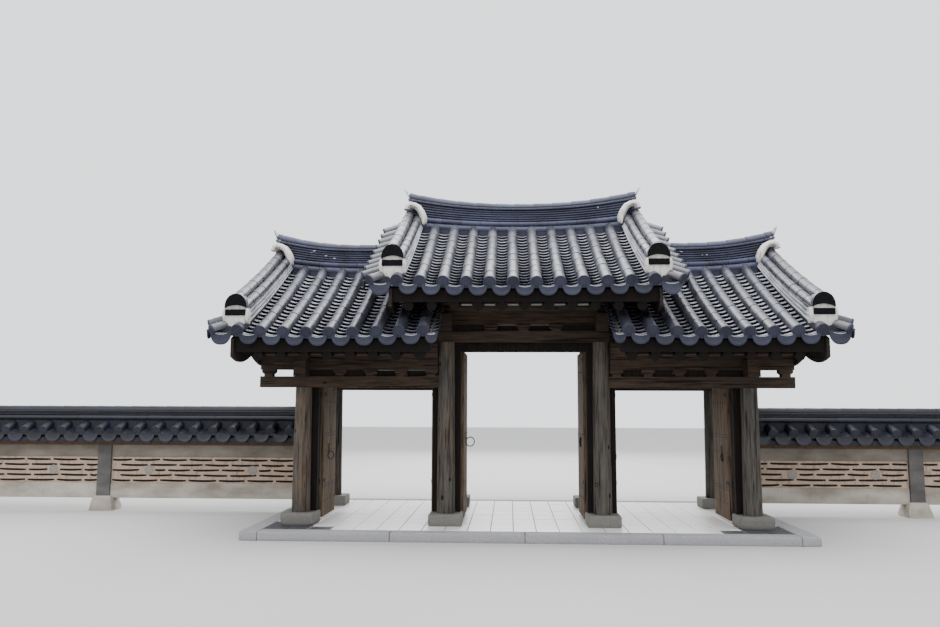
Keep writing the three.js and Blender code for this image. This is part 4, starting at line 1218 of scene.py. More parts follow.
class GATE_OT_main_ridges(bpy.types.Operator):
    """Stacks the courses of the main ridges and sets the upright end blades."""

    bl_idname = "gate.main_ridges"
    bl_label = "Main ridges"

    def execute(self, context):
        length, inset = context.scene.gate_tiles.joint, 0.085
        for roof in ROOFS:
            left, right = roof.ridge
            # A side roof's inner end runs against the centre bay's wall and has no blade
            ends = {"left": [left], "centre": [left, right], "right": [right]}[roof.name]
            a = left + inset if left in ends else left
            b = right - inset if right in ends else right
            ridge = Ridge(roof, a, b, random.Random(71 + len(roof.name)))
            shape = Shape()
            self.core(shape, ridge)
            # Round courses as height in the stack, reach from the middle, radius and length of a tile; flat
            # ones as height, half width, thickness and length
            for side in (-1, 1):
                self.round_course(shape, ridge, side, 0.056, 0.125, 0.063, 1.3)
                self.round_course(shape, ridge, side, 0.152, 0.112, 0.048, length)
            for k in range(5):
                self.flat_course(shape, ridge, 0.213 + 0.036 * k, 0.141 - 0.003 * k, 0.022, length)
            self.flat_course(shape, ridge, 0.398, 0.154, 0.030, length)
            self.top_course(shape, ridge, length)
            self.specks(shape, ridge)
            for end in ends:
                self.blade(shape, ridge, end, 1 if end > roof.mid else -1)
            finishes = ["ridge_tile", "plaster", "mortar", "drip_tile"]
            node = f"main_ridge_{roof.name}"
            shape.piece(f"ridge_courses_{roof.name}", finishes, slot="roof_tile", replaces=[node])
        return {"FINISHED"}

    def core(self, shape, ridge):
        """Mortar inside the stack and the dark bed under it, both drawn near-black as painted shade between
        and under the courses.
        """
        # As heights in the stack, half widths at foot and top, and the finish
        for low, high, foot, top, finish in ((0.01, 0.44, 0.112, 0.112, 2), (-0.10, 0.03, 0.178, 0.172, 3)):
            rings = []
            for x in np.linspace(ridge.a, ridge.b, 15):
                z0, z1 = ridge.level(x, low), ridge.level(x, high)
                rings.append([(x, -foot, z0), (x, foot, z0), (x, top, z1), (x, -top, z1)])
            shape.loft(rings, finish)

    def round_course(self, shape, ridge, side, height, reach, radius, length):
        """Half-round tiles laid on their flank along one side of the stack."""
        steps = 4 if length < 0.5 else 8
        for c, d in ridge.cuts(length):
            top, bottom = [], []
            for x in np.linspace(c, d - 0.005, steps):
                y = side * (reach + ridge.dice.uniform(0, 0.001))
                outer, inner = half_round(x, y, ridge.level(x, height), side, radius, 10, 0.012)
                top.append(outer)
                bottom.append(inner)
            shape.slab(top, bottom, 0)

    def flat_course(self, shape, ridge, height, half, thick, length):
        """Flat tiles laid across the stack, with worn edges."""
        worn = 0.004
        for c, d in ridge.cuts(length):
            reach = half + ridge.dice.uniform(-0.004, 0.004)
            rings = []
            for x in np.linspace(c, d - 0.004, 3):
                z = ridge.level(x, height)
                low, high = z - thick / 2, z + thick / 2
                edge = [(reach - worn, low), (reach, low + worn), (reach, high - worn), (reach - worn, high)]
                rings.append([(x, y, q) for y, q in edge] + [(x, -y, q) for y, q in reversed(edge)])
            shape.loft(rings, 0)

    def top_course(self, shape, ridge, length):
        """Cover tiles along the crest."""
        crest_z = ridge.roof.crest_z
        for c, d in ridge.cuts(length):
            low = np.array([c, 0.0, crest_z(c) - 0.090])
            high = np.array([d + 0.012 if d < ridge.b else d, 0.0, crest_z(d) - 0.094])
            cover_tile(shape, low, high, BACK, 0.092, 0.086, spread=190)

    def specks(self, shape, ridge):
        """Blobs of white mortar left in the joints of the thin courses."""
        dice, margin = ridge.dice, 0.4
        for _ in range(5):
            x = dice.uniform(ridge.a + margin, ridge.b - margin)
            side = dice.choice((-1, 1))
            height = 0.26 + 0.031 * dice.randint(0, 3)
            size = dice.uniform(0.02, 0.045)
            centre = np.array([x, side * 0.118, ridge.level(x, height)])
            profile = [(0, 0.022), (size * 0.6, 0.018), (size, 0.0), (0, -0.01)]
            shape.turned(centre, RIGHT, UP * 0.3, BACK * side, profile, 8, None, 1)

    def blade(self, shape, ridge, end, sign):
        """A slim upright end tile leaning outward, on a plaster bed."""
        foot = ridge.level(end, 0.37)
        tip = ridge.roof.crest_z(end) + 0.035
        lean, half = 0.105, 0.135
        columns = np.linspace(-1, 1, 13)
        bow = sign * 0.009 * (1 - columns**2)
        face = []
        for v in np.linspace(0, 1, 9):
            width = half * (1 - 0.93 * v**3.2) ** 0.5
            x = end - sign * lean * (1 - v**1.35)
            z = foot + (tip - foot) * v
            face.append(np.stack([x + bow, columns * width, np.full(len(columns), z)], 1))
        face = np.array(face)
        shape.slab(face, face - sign * 0.022 * RIGHT, 0)

        # A thin line of plaster shows round the edge
        edge = face * [1, 1.04, 1] + [sign * 0.004, 0, 0.006]
        shape.slab(edge, edge - sign * 0.012 * RIGHT, 1)

        # The plaster bed, slightly rounded in front
        low, high = ridge.level(end, 0.03), foot + 0.03
        reach, rear = 0.118, end - sign * 0.16
        rings = []
        for v in np.linspace(0, 1, 5):
            z = low + (high - low) * v
            x = end - sign * (0.088 - 0.01 * math.sin(math.pi * v))
            front = [(x, -reach, z), (x + sign * 0.012, 0.0, z), (x, reach, z)]
            rings.append(front + [(rear, reach, z), (rear, -reach, z)])
        shape.loft(rings, 1)


class GATE_OT_timber(bpy.types.Operator):
    """Gives the beams, rafters, gable boards and door frames their finishes."""

    bl_idname = "gate.timber"
    bl_label = "Carried timbers"

    def execute(self, context):
        finish_of = {
            "beam_line": "beam",
            "ridge_frame": "beam",
            # The roof deck takes the rafter finish, near-black as painted shade
            "roof_deck": "rafter",
            "gable_board": "board",
            # Door frames take the frame finish, near-black as painted shade
            "door_frame": "frame",
        }
        for name, node in frame["nodes"].items():
            for start, finish in finish_of.items():
                if name.startswith(start):
                    node.data.materials.clear()
                    node.data.materials.append(FINISHES[finish])
        return {"FINISHED"}


class GATE_OT_columns(bpy.types.Operator):
    """Turns the eight columns, with their long drying cracks."""

    bl_idname = "gate.columns"
    bl_label = "Columns"

    # Radius of every column at its head
    HEAD = 0.129

    def execute(self, context):
        depth = context.scene.gate_timber.crack_depth
        for name in sorted(frame["nodes"]):
            if name.startswith("column_"):
                self.column(name, depth)
        return {"FINISHED"}

    def column(self, name, depth):
        """One tapering column; a ring hangs from the front one at the right of the centre bay."""
        low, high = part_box(name)
        x, y = (low.x + high.x) / 2, (low.y + high.y) / 2
        foot = (high.x - low.x) / 2
        dice = random.Random(name)
        cracks = [self.crack(low.z, high.z, dice) for _ in range(9)]
        levels = np.linspace(low.z, high.z, 60)
        wobble = [dice.uniform(-0.002, 0.002) for _ in levels]
        sides = 72
        rings = []
        for z, shift in zip(levels, wobble):
            radius = foot + (self.HEAD - foot) * (z - low.z) / (high.z - low.z)
            ring = []
            for k in range(sides):
                angle = 2 * math.pi * k / sides
                r = radius - 0.0015 + 0.0012 * math.sin(5 * angle + 3 * z) + 0.3 * shift
                r -= depth * self.cut(cracks, angle, z)
                ring.append((x + r * math.cos(angle), y + r * math.sin(angle), z))
            rings.append(ring)
        shape = Shape()
        shape.loft(rings, 0)
        if name == "column_front_right_inner":
            spot = np.array([1.113, -1.342, 0.787])
            out = unit(spot - np.array([x, y, spot[2]]))
            side = np.cross(UP, out)
            pin = [(0, 0.012), (0.008, 0.010), (0.010, 0), (0.010, -0.01), (0, -0.01)]
            shape.turned(spot, side, UP, out, pin, 10, None, 1)
            shape.hoop(spot + out * 0.010 - UP * 0.028, side, 0.03, 0.03, 0.005, 1)
        made = name.replace("column_", "pine_column_")
        shape.piece(made, ["column", "iron"], slot="timber", replaces=[name], crease=50)

    def crack(self, low, high, dice):
        """A crack's place round the column, its lower and upper end, and its share of the full depth."""
        start = dice.uniform(low, high - 0.7)
        return dice.uniform(0, 2 * math.pi), start, start + dice.uniform(0.5, 1.6), dice.uniform(0.35, 1.0)

    def cut(self, cracks, angle, z):
        """How deep the cracks are at one point of the column, as a share of the full depth."""
        # Half the width of a crack, as an angle
        half = 0.075
        depth = 0.0
        for at, z0, z1, part in cracks:
            if z0 < z < z1:
                drift = at + 0.05 * math.sin(4 * (z - z0))
                gap = abs((angle - drift + math.pi) % (2 * math.pi) - math.pi)
                if gap < half:
                    fade = math.sin(math.pi * (z - z0) / (z1 - z0)) ** 0.5
                    depth += part * fade * (1 - gap / half)
        return depth


def hewn_block(shape, low, high, bevel, rough, dice):
    """A hewn stone: a box with worn edges and gently uneven faces."""
    (x0, y0, z0), (x1, y1, z1) = low, high
    spans = 6
    ticks = [0.0, 0.04] + [0.04 + 0.92 * k / spans for k in range(1, spans)] + [0.96]
    rings = []
    for v in (0.0, 0.14, 0.38, 0.62, 0.86, 1.0):
        rim = bevel if v in (0.0, 1.0) else 0.0
        ring = []
        for face in range(4):
            for t in ticks:
                u, w = [(t, 0), (1, t), (1 - t, 1), (0, 1 - t)][face]
                cut = bevel * 0.6 if t == 0.0 else 0.0
                inward = dice.uniform(0, rough)
                x = x0 + rim + (x1 - x0 - 2 * rim) * u + (cut if u < 0.5 else -cut)
                y = y0 + rim + (y1 - y0 - 2 * rim) * w + (cut if w < 0.5 else -cut)
                x += inward * (0, -1, 0, 1)[face]
                y += inward * (1, 0, -1, 0)[face]
                ring.append((x, y, z0 + (z1 - z0) * v))
        rings.append(ring)
    shape.loft(rings, 0)


class GATE_OT_base_stones(bpy.types.Operator):
    """Hews the base stones under the columns."""

    bl_idname = "gate.base_stones"
    bl_label = "Base stones"

    def execute(self, context):
        for name in sorted(frame["nodes"]):
            if not name.startswith("base_stone_"):
                continue
            low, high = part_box(name)
            shape = Shape()
            hewn_block(shape, low, high, 0.012, 0.004, random.Random(name))
            made = name.replace("base_stone_", "hewn_stone_")
            shape.piece(made, ["stone"], slot="granite", replaces=[name], crease=30)
        return {"FINISHED"}


class GATE_OT_platform(bpy.types.Operator):
    """Sets the kerbstones and lays the paving slabs."""

    bl_idname = "gate.platform"
    bl_label = "Platform"

    def execute(self, context):
        self.kerbs()
        self.slabs()
        return {"FINISHED"}

    def kerbs(self):
        """Four long kerbstones in front and behind, and three at each end."""
        low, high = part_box("kerb_ring")
        floor_low, floor_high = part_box("paved_floor")
        shape = Shape()
        dice = random.Random(5)
        gap, bevel, rough = 0.003, 0.007, 0.0015
        joints = [floor_low.x, -1.956, -0.004, 1.961, floor_high.x]
        for y0, y1 in ((low.y, floor_low.y - gap), (floor_high.y + gap, high.y)):
            for a, b in zip(joints, joints[1:]):
                hewn_block(shape, (a + gap, y0, 0.0), (b - gap, y1, high.z), bevel, rough, dice)
        ends = np.linspace(low.y, high.y, 4)
        for x0, x1 in ((low.x, floor_low.x), (floor_high.x, high.x)):
            for a, b in zip(ends, ends[1:]):
                hewn_block(shape, (x0, a + gap, 0.0), (x1, b - gap, high.z), bevel, rough, dice)
        shape.piece("kerbstones", ["kerb"], slot="granite", replaces=["kerb_ring"], crease=30)

    def slabs(self):
        """Pale slabs on a bed of sand; those at both ends of the two front rows are drawn dark as painted
        shade along the front kerb.
        """
        low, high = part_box("paved_floor")
        shape = Shape()
        dice = random.Random(8)
        wide, deep, first_deep, gap = 0.345, 0.48, 0.30, 0.005
        shape.block((low.x, low.y, 0.0), (high.x, high.y, high.z - 0.012), 0.002, 1)
        columns, rows = round((high.x - low.x) / wide), round((high.y - low.y) / deep)
        xs = np.linspace(low.x, high.x, columns + 1)
        ys = np.concatenate([[low.y], np.linspace(low.y + first_deep, high.y, rows)])
        for i in range(columns):
            for j in range(rows):
                drop = dice.uniform(0.0, 0.002)
                near = (xs[i] + gap, ys[j] + gap, high.z - 0.03)
                far = (xs[i + 1] - gap, ys[j + 1] - gap, high.z - drop)
                # These slabs take the dark finish: painted shade along the front kerb
                dark = (j == 0 and not 2 < i < columns - 3) or (j == 1 and not 1 < i < columns - 2)
                shape.block(near, far, 0.003, 2 if dark else 0)
        finishes = ["slab", "joint", "slate"]
        shape.piece("paving_slabs", finishes, slot="paving", replaces=["paved_floor"], crease=30)


class Leaf:
    """Where an open door leaf stands: the face of its planks, its front and rear edge and its height."""

    # How far a ring is turned out of its leaf's plane, where 1 is square to it; the others hang flat
    TURNS = {"left_bay_left": 0.62, "centre_bay_left": 0.9, "right_bay_left": 0.35}

    def __init__(self, bay, edge, planks):
        self.name = f"{bay}_bay_{edge}"
        self.node = f"door_leaf_{self.name}"
        self.sign = -1 if edge == "left" else 1
        low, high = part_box(self.node)
        self.face = low.x if self.sign > 0 else high.x
        self.front, self.rear = low.y + 0.014, high.y
        self.low, self.high = low.z, high.z
        self.joints = np.linspace(self.front, self.rear, planks + 1)
        self.battens = [self.low + share * (self.high - self.low) for share in (0.12, 0.5, 0.88)]
        self.out = np.array([-float(self.sign), 0.0, 0.0])
        self.turn = self.TURNS.get(self.name, 0.0)
        self.ring_side = unit(self.turn * self.out + math.sqrt(1 - self.turn**2) * BACK)
        self.ring_y = self.front + 0.38 * (self.rear - self.front)

    def at(self, depth, y, z):
        """A point at a depth behind the planks' face."""
        return np.array([self.face + self.sign * depth, y, z])

    def nail(self, shape, spot, profile, sides):
        """A round nail head, rose or eye on the face."""
        shape.turned(spot, BACK, UP, self.out, profile, sides, None, 1)


class GATE_OT_doors(bpy.types.Operator):
    """Makes the six plank leaves with their battens, nails, hinge plates and ring pulls."""

    bl_idname = "gate.doors"
    bl_label = "Door leaves"

    def execute(self, context):
        sizes = context.scene.gate_timber
        for bay in ("left", "centre", "right"):
            for edge in ("left", "right"):
                leaf = Leaf(bay, edge, sizes.planks)
                shape = Shape()
                self.wood(shape, leaf, random.Random(leaf.node))
                self.ironwork(shape, leaf)
                if bay == "centre":
                    self.ring_on_rose(shape, leaf, 1.2 * sizes.ring_radius)
                else:
                    self.ring_on_chain(shape, leaf, sizes.ring_radius)
                made, body = f"plank_leaf_{leaf.name}", f"leaf_{leaf.name}"
                shape.piece(made, ["door", "iron"], body=body, slot="door_timber", replaces=[leaf.node])
        return {"FINISHED"}

    def wood(self, shape, leaf, dice):
        """Planks in front, a hanging stile with its rib behind them, and three battens."""
        low, high, front = leaf.low, leaf.high, leaf.front
        plank, back, gap = 0.030, 0.050, 0.0015
        for a, b in zip(leaf.joints, leaf.joints[1:]):
            proud = dice.uniform(0.0, 0.0015)
            shape.block(leaf.at(proud, a + gap, low), leaf.at(plank, b - gap, high), 0.003)
        inner = plank + 0.0002
        shape.block(leaf.at(inner, front, low), leaf.at(back, front + 0.07, high), 0.003)
        shape.block(leaf.at(back + 0.0003, front + 0.010, low), leaf.at(0.085, front + 0.050, high), 0.003)
        for z in leaf.battens:
            near, far = leaf.at(inner, front + 0.072, z - 0.05), leaf.at(back, leaf.rear - 0.01, z + 0.05)
            shape.block(near, far, 0.004)

    def ironwork(self, shape, leaf):
        """Two double lines of thin strap, nails along the battens, and the plates at the hinges."""
        front, rear = leaf.front, leaf.rear
        for z in (0.664, 1.48):
            for middle in (z - 0.021, z + 0.021):
                near = leaf.at(-0.002, front + 0.005, middle - 0.006)
                far = leaf.at(0.001, rear - 0.005, middle + 0.006)
                shape.block(near, far, 0.001, 1)
        head = [(0, 0.009), (0.006, 0.0075), (0.010, 0.003), (0.011, -0.002), (0, -0.002)]
        for z in leaf.battens:
            for a, b in zip(leaf.joints, leaf.joints[1:]):
                leaf.nail(shape, leaf.at(0.0, (a + b) / 2, z), head, 10)
        small_head = [(0, 0.006), (0.006, 0.004), (0.008, 0), (0, 0)]
        for z in (leaf.low + 0.54, leaf.high - 0.16):
            top = z + 0.07
            shape.block(leaf.at(-0.0035, front + 0.002, z), leaf.at(0.001, front + 0.16, top), 0.0015, 1)
            near, far = leaf.at(0.045, front - 0.012, z + 0.0003), leaf.at(0.066, front + 0.055, top)
            shape.block(near, far, 0.002, 1)
            for k in range(3):
                leaf.nail(shape, leaf.at(-0.003, front + 0.03 + 0.05 * k, z + 0.035), small_head, 8)

    def ring_on_rose(self, shape, leaf, radius):
        """A centre leaf's ring, hung from an eye on a round rose."""
        centre = leaf.at(0.0, leaf.ring_y, 1.36 + radius)
        rose = [(0, 0.007), (0.016, 0.007), (0.020, 0.004), (0.034, 0.003), (0.037, 0.0), (0, 0.0)]
        leaf.nail(shape, centre, rose, 20)
        hung = centre + leaf.out * (0.016 + leaf.turn * radius) - UP * (radius - 0.006)
        shape.hoop(hung, leaf.ring_side, radius, radius, 0.0085, 1)
        eye = [(0, 0.012), (0.007, 0.010), (0.009, 0), (0.007, -0.008), (0, -0.008)]
        leaf.nail(shape, centre + leaf.out * 0.012, eye, 10)

    def ring_on_chain(self, shape, leaf, radius):
        """A side leaf's ring, hung by four links from a small plate."""
        middle = leaf.ring_y
        shape.block(leaf.at(0.0, middle - 0.03, 1.305), leaf.at(-0.006, middle + 0.03, 1.325), 0.002, 1)
        proud = leaf.out * 0.009
        for k in range(4):
            side = BACK if k % 2 else leaf.out
            shape.hoop(leaf.at(0.0, middle, 1.300 - 0.035 * k) + proud, side, 0.013, 0.021, 0.0035, 1)
        centre = leaf.at(0.0, middle, 1.195 - radius) + proud + leaf.out * leaf.turn * radius
        shape.hoop(centre, leaf.ring_side, radius, radius, 0.007, 1)


class GATE_OT_walls(bpy.types.Operator):
    """Casts the flanking walls' rails, tiles their caps and lays the tile strokes in their panels."""

    bl_idname = "gate.walls"
    bl_label = "Flanking walls"

    # Middles of the round stones in each panel
    ROUNDELS = {
        "wall_panel_left_1": (-5.00, -6.97),
        "wall_panel_left_2": (-8.80, -10.90),
        "wall_panel_right_1": (4.88, 6.34),
        "wall_panel_right_2": (8.10, 9.60),
    }

    def execute(self, context):
        for edge, sign in (("left", -1), ("right", 1)):
            self.cap(edge, sign)
            self.concrete(edge, sign)
            for k in (1, 2):
                self.panel(f"wall_panel_{edge}_{k}")
        return {"FINISHED"}

    def reach(self, low, high):
        """Distance of a wall's near and far end from the gate's middle."""
        return sorted((abs(low.x), abs(high.x)))

    def concrete(self, edge, sign):
        """Rails cast in boards, posts standing proud of them and rough footings."""
        node = f"wall_frame_{edge}"
        start, stop = self.reach(*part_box(node))
        stop -= 0.30
        posts = [start + (stop - start) / 2, stop]
        half_post, beside = 0.1275, 0.128
        low_rail, high_rail = 0.500, 1.205
        shape = Shape()
        dice = random.Random(edge + "frame")

        def cast(a, b, half, z0, z1, finish):
            shape.block((sign * a, ROW_Y - half, z0), (sign * b, ROW_Y + half, z1), 0.004, finish)

        # The low rail is cut away over its first 116 mm, clear of the outer column's base stone
        clear = start + 0.116
        cast(start, clear - 0.001, 0.105, 0.308, low_rail, 2)
        outer_bay = (posts[0] + beside, posts[1] - beside)
        for a, b in ((clear, posts[0] - beside), outer_bay):
            cast(a, b, 0.105, 0.224, low_rail, 2)
        for a, b in ((start, posts[0] - beside), outer_bay):
            cast(a, b, 0.105, 0.985, high_rail, 0)
        for at in posts:
            cast(at - half_post, at + half_post, 0.135, 0.20, high_rail, 1)
            self.footing(shape, sign * at, dice)
        shape.piece(f"cast_frame_{edge}", ["concrete", "post", "foot"], slot="concrete", replaces=[node])

    def footing(self, shape, x, dice):
        """A square footing with blunt corners and an uneven skin."""
        sides = 20
        rings = []
        for z, half in ((0.0, 0.225), (0.05, 0.225), (0.15, 0.205), (0.235, 0.180), (0.265, 0.155)):
            ring = []
            for k in range(sides):
                angle = 2 * math.pi * (k + 0.5) / sides
                c, s = math.cos(angle), math.sin(angle)
                blunt = 0.93 if abs(abs(c) - abs(s)) < 0.3 else 1.0
                reach = half / max(abs(c), abs(s)) * blunt + dice.uniform(-0.010, 0.010)
                ring.append((x + reach * c, ROW_Y + reach * s, z))
            rings.append(ring)
        shape.loft(rings, 2)

    def cap(self, edge, sign):
        """A small tiled roof on a clay bed, with a ridge of laid courses."""
        node = f"wall_cap_{edge}"
        low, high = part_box(node)
        shape = Shape()
        dice = random.Random(edge)
        shape.block((low.x, ROW_Y - 0.15, 1.2053), (high.x, ROW_Y + 0.15, 1.262), 0.002, 3)
        # The body under the tiles takes the mortar finish, near-black as painted shade
        section = [(0.30, 1.262), (0.30, 1.34), (0.10, 1.47), (0.10, 1.80)]
        rings = []
        for x in (low.x + 0.01, high.x - 0.01):
            rear = [(x, ROW_Y + y, z) for y, z in section]
            rings.append(rear + [(x, ROW_Y - y, z) for y, z in reversed(section)])
        shape.loft(rings, 2)
        self.cap_rows(shape, low, high, sign)
        self.cap_ridge(shape, low.x + 0.005, high.x - 0.005, dice)
        finishes = ["wall_tile", "plaster", "mortar", "brown_clay"]
        shape.piece(f"cap_tiles_{edge}", finishes, slot="roof_tile", replaces=[node])

    def cap_rows(self, shape, low, high, sign):
        """Rows of cover tiles with discs and of pan tiles with drip plates, down both slopes."""
        pitch = 0.358
        first = 4.255 if sign < 0 else 4.486
        start, stop = self.reach(low, high)
        x = first - pitch * math.floor((first - start - 0.1) / pitch)
        rows = []
        while x < stop - 0.06:
            rows.append(sign * x)
            x += pitch
        gutters = [x + sign * pitch / 2 for x in rows] + [rows[0] - sign * pitch / 2]
        for side in (-1, 1):
            out = np.array([0.0, float(side), 0.0])

            def at(x, y, z):
                return np.array([x, ROW_Y + side * y, z])

            for x in rows:
                foot, head = at(x, 0.330, 1.478), at(x, 0.09, 1.580)
                cover_tile(shape, foot, head, RIGHT, 0.085, 0.080)
                axis = unit(foot - head)
                end_disc(shape, foot + axis * 0.014, RIGHT, axis, 0.090)
            for x in gutters:
                if low.x + 0.10 < x < high.x - 0.10:
                    for k in range(3):
                        foot, head = at(x, 0.325 - 0.085 * k, 1.412 + 0.036 * k), at(x, 0.09, 1.50)
                        pan_tile(shape, foot, head, RIGHT, 0.155, 0.20, 0.018)
                    drip_plate(shape, at(x, 0.318, 1.410), RIGHT, out, 0.165, 0.21, 0.150)

    def cap_ridge(self, shape, a, b, dice):
        """A half-round course on each flank, three flat ones over them and cover tiles on top."""
        for side in (-1, 1):
            y = ROW_Y + side * 0.085
            for c, d in self.cuts(a, b, 1.3, dice):
                lines = [half_round(x, y, 1.712, side, 0.052, 8, 0.01) for x in (c, (c + d) / 2, d)]
                shape.slab([outer for outer, _ in lines], [inner for _, inner in lines], 0)
        # Flat courses, as height, half width and thickness
        for z, half, thick in ((1.775, 0.118, 0.016), (1.800, 0.112, 0.016), (1.828, 0.122, 0.022)):
            for c, d in self.cuts(a, b, 0.45, dice):
                reach = half + dice.uniform(-0.005, 0.005)
                middle = z + dice.uniform(-0.003, 0.003)
                near, far = (c, ROW_Y - reach, middle - thick / 2), (d, ROW_Y + reach, middle + thick / 2)
                shape.block(near, far, 0.003)
        for c, d in self.cuts(a, b, 0.333, dice):
            low, high = np.array([c, ROW_Y, 1.852]), np.array([d + 0.01, ROW_Y, 1.852])
            cover_tile(shape, low, high, BACK, 0.080, 0.076, spread=190)
        # The ridge's core in the mortar finish, near-black as painted shade between the courses
        shape.block((a, ROW_Y - 0.09, 1.66), (b, ROW_Y + 0.09, 1.86), 0.002, 2)

    def cuts(self, a, b, length, dice):
        """Ends of the tiles in one course, begun with a random part tile."""
        first, joint = length * dice.uniform(0.3, 1.0), 0.004
        found = []
        x = a
        while x < b - 0.02:
            end = min(b, x + (length if found else first))
            found.append((x, end - joint))
            x = end
        return found

    def panel(self, node):
        """Clay plaster with five rows of tile edges, and round stones in the middle row."""
        low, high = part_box(node)
        shape = Shape()
        dice = random.Random(node)
        shape.block(low, high, 0.002)
        middle, pitch = 0.740, 0.095
        for side in (-1, 1):
            y = low.y if side < 0 else high.y
            for x in self.ROUNDELS[node]:
                self.roundel(shape, np.array([x, y, middle]), side)
            for k in range(5):
                x = low.x - 0.23 + dice.uniform(0.0, 0.25) + (0.26 if k % 2 else 0.0)
                while x < high.x - 0.06:
                    length = 0.47 + dice.uniform(-0.05, 0.05)
                    a, b = max(x, low.x + 0.02), min(x + length, high.x - 0.02)
                    if k == 2:
                        a, b = self.clear_of(a, b, self.ROUNDELS[node])
                    if b - a > 0.07:
                        self.stroke(shape, a, b, middle + pitch * (k - 2), y, side, dice)
                    x += length + 0.052
        finishes = ["clay", "edge_tile", "pointing", "roundel"]
        shape.piece(f"tile_inlaid_{node}", finishes, slot="wall_plaster", replaces=[node])

    def roundel(self, shape, centre, side):
        """A round stone carved like an eave disc, in a ring of pale pointing."""
        out = np.array([0.0, float(side), 0.0])
        edge, facets = 0.0875, 28
        ring = [(0, 0.004), (0.1, 0.004), (0.104, 0), (0, -0.002)]
        shape.turned(centre, RIGHT, UP, out, ring, facets, None, 2)
        profile = [(0, 0.008)] + [(r, 0.007) for r in (0.02, 0.03, 0.045, 0.06, 0.072, 0.08, edge)]
        profile += [(edge, 0.0), (0, 0.0)]

        def relief(radius, angle):
            return petals(radius, angle) * 0.7 if radius < edge else 0.0

        shape.turned(centre, RIGHT, UP, out, profile, facets, relief, 3)

    def clear_of(self, a, b, stones):
        """Shortens a stroke so that it stays off the round stones."""
        gap = 0.12
        for x in stones:
            if a < x + gap and b > x - gap:
                if (a + b) / 2 < x:
                    b = min(b, x - gap)
                else:
                    a = max(a, x + gap)
        return a, b

    def stroke(self, shape, a, b, z, y, side, dice):
        """The dark edge of a laid tile, slightly sagging, in its pale pointing."""
        sag, tilt = dice.uniform(0.002, 0.010), dice.uniform(-0.006, 0.006)
        sunk = 0.004
        ticks = np.linspace(-1, 1, 7)
        middle = z - sag * (1 - ticks**2) + tilt * ticks
        for grow, proud, finish in ((0.006, 0.0025, 2), (0.0, 0.006, 1)):
            x = (a + b) / 2 + ((b - a) / 2 + grow) * ticks
            half = (0.0185 + grow) * (1 - 0.25 * ticks**4)
            face = np.full(len(ticks), y + side * proud)
            top = np.array([np.stack([x, face, middle + v * half], 1) for v in (-1, 1)])
            shape.slab(top, top - side * (proud + sunk) * BACK, finish)


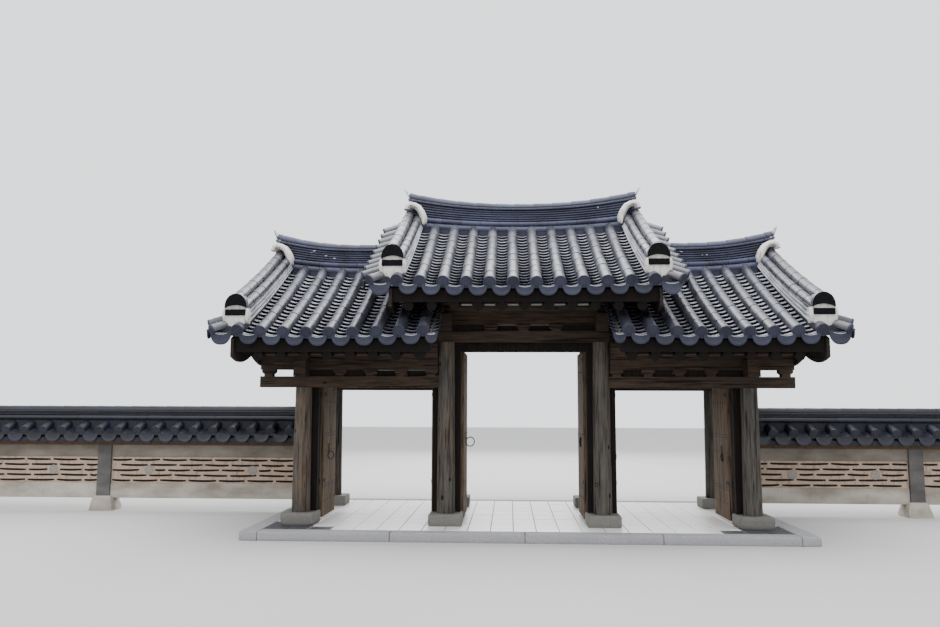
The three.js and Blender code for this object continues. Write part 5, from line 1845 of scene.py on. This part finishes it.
class GATE_OT_eaves(bpy.types.Operator):
    """Fills between the rafter tips with plaster and closes the gaps between the bearing blocks."""

    bl_idname = "gate.eaves"
    bl_label = "Eaves"

    def execute(self, context):
        for roof in ROOFS:
            self.rafter_filling(roof)
            if not roof.centre:
                self.verge_boards(roof)
        for row, y in (("front", -ROW_Y), ("rear", ROW_Y)):
            for bay in ("left", "centre", "right"):
                self.infill(row, bay, y)
        return {"FINISHED"}

    def rafter_filling(self, roof):
        """A line of plaster or wood between the rafter tips, and a filling above it drawn near-black as the
        painted shade under the eaves.
        """
        z, half = PLATFORM_TOP + 3.270, 0.077
        places = [PITCH * (k + 0.5) for k in range(-3, 3)]
        if not roof.centre:
            z, half = z - CENTRE_RISE, 0.082
            places = [math.copysign(PITCH * k, roof.mid) for k in range(5, 12)]
        shape = Shape()
        for side in (-1, 1):
            y0, y1 = side * (EDGE_Y - 0.15), side * (EDGE_Y - 0.22)
            for x in places:
                shape.block((x - half, y0, z - 0.009), (x + half, y1, z + 0.011), 0.003, 0)
                shape.block((x - half, y0, z + 0.0112), (x + half, y1, z + 0.05), 0.003, 1)
        finishes = ["grey_plaster" if roof.centre else "beam", "rafter"]
        shape.piece(f"rafter_filling_{roof.name}", finishes, slot="timber")

    def verge_boards(self, roof):
        """Grey boards closing a side roof's inner edge outside the centre bay."""
        xs = [math.copysign(x, roof.mid) for x in (1.326, 1.348)]
        steps = np.linspace(0.02, EDGE_Y - 1.42, 7)
        shape = Shape()
        for side in (-1, 1):
            top = [[roof.at(x, t, side, -0.05) for x in xs] for t in steps]
            bottom = [[roof.at(x, t, side, -0.18) for x in xs] for t in steps]
            shape.slab(top, bottom, 0)
        shape.piece(f"inner_verge_boards_{roof.name}", ["verge_board"], slot="timber")

    def infill(self, row, bay, y):
        """Thin boards set back between the bearing blocks, drawn near-black in the frame finish as painted
        shade, with a pale line of plaster over them.
        """
        beam_z, beam_tall, block_tall, gap = 2.107, 0.173, 0.105, 0.0005
        z0 = PLATFORM_TOP + beam_z + beam_tall + (CENTRE_RISE if bay == "centre" else 0.0)
        z1 = z0 + block_tall
        shape = Shape()
        if bay == "centre":
            spans = [(-0.41, -0.105), (0.105, 0.41), (-1.115, -0.62), (0.62, 1.115)]
        else:
            sign = -1 if bay == "left" else 1
            first, pitch, half_block = 1.445, 0.485, 0.105
            starts = [first + pitch * k for k in range(3)]
            spans = [(sign * (x + half_block), sign * (x + pitch - half_block)) for x in starts]
            spans.append((sign * 3.005, sign * 3.385))
        for k, (a, b) in enumerate(spans):
            if k < 2 and bay != "right":
                line = z1 - 0.012
                shape.block((a, y - 0.012, z0 + gap), (b, y + 0.012, line), 0.002, 0)
                shape.block((a, y - 0.02, line + 0.0002), (b, y + 0.02, z1 - gap), 0.001, 1)
            else:
                shape.block((a, y - 0.05, z0 + gap), (b, y + 0.05, z1 - gap), 0.002, 0)
        shape.piece(f"block_infill_{row}_{bay}", ["frame", "grey_plaster"], slot="timber")


class GATE_PT_panel(bpy.types.Panel):
    """Lists the gate's pieces and their sizes."""

    bl_label = "Three-bay gate"
    bl_idname = "GATE_PT_panel"
    bl_space_type = "VIEW_3D"
    bl_region_type = "UI"
    bl_category = "Gate"

    def draw(self, context):
        for name in PARTS:
            self.layout.operator(f"gate.{name}")
        for key in GROUPS:
            group = getattr(context.scene, key)
            for name in group.__annotations__:
                self.layout.prop(group, name)


PARTS = {
    "camera": GATE_OT_camera,
    "stage": GATE_OT_stage,
    "roof_tiles": GATE_OT_roof_tiles,
    "verges": GATE_OT_verges,
    "descending_ridges": GATE_OT_descending_ridges,
    "main_ridges": GATE_OT_main_ridges,
    "timber": GATE_OT_timber,
    "columns": GATE_OT_columns,
    "base_stones": GATE_OT_base_stones,
    "platform": GATE_OT_platform,
    "doors": GATE_OT_doors,
    "walls": GATE_OT_walls,
    "eaves": GATE_OT_eaves,
}
GROUPS = {"gate_tiles": GateTiles, "gate_timber": GateTimber, "gate_look": GateLook, "gate_view": GateView}
CLASSES = [*GROUPS.values(), *PARTS.values(), GATE_PT_panel]


def register():
    for cls in CLASSES:
        bpy.utils.register_class(cls)
    for name, group in GROUPS.items():
        setattr(bpy.types.Scene, name, PointerProperty(type=group))


def unregister():
    for name in GROUPS:
        delattr(bpy.types.Scene, name)
    for cls in reversed(CLASSES):
        bpy.utils.unregister_class(cls)


def main():
    """Makes the finishes and every piece."""
    register()
    make_finishes(bpy.context.scene.gate_look)
    for name in PARTS:
        getattr(bpy.ops.gate, name)()


if __name__ == "__main__":
    main()
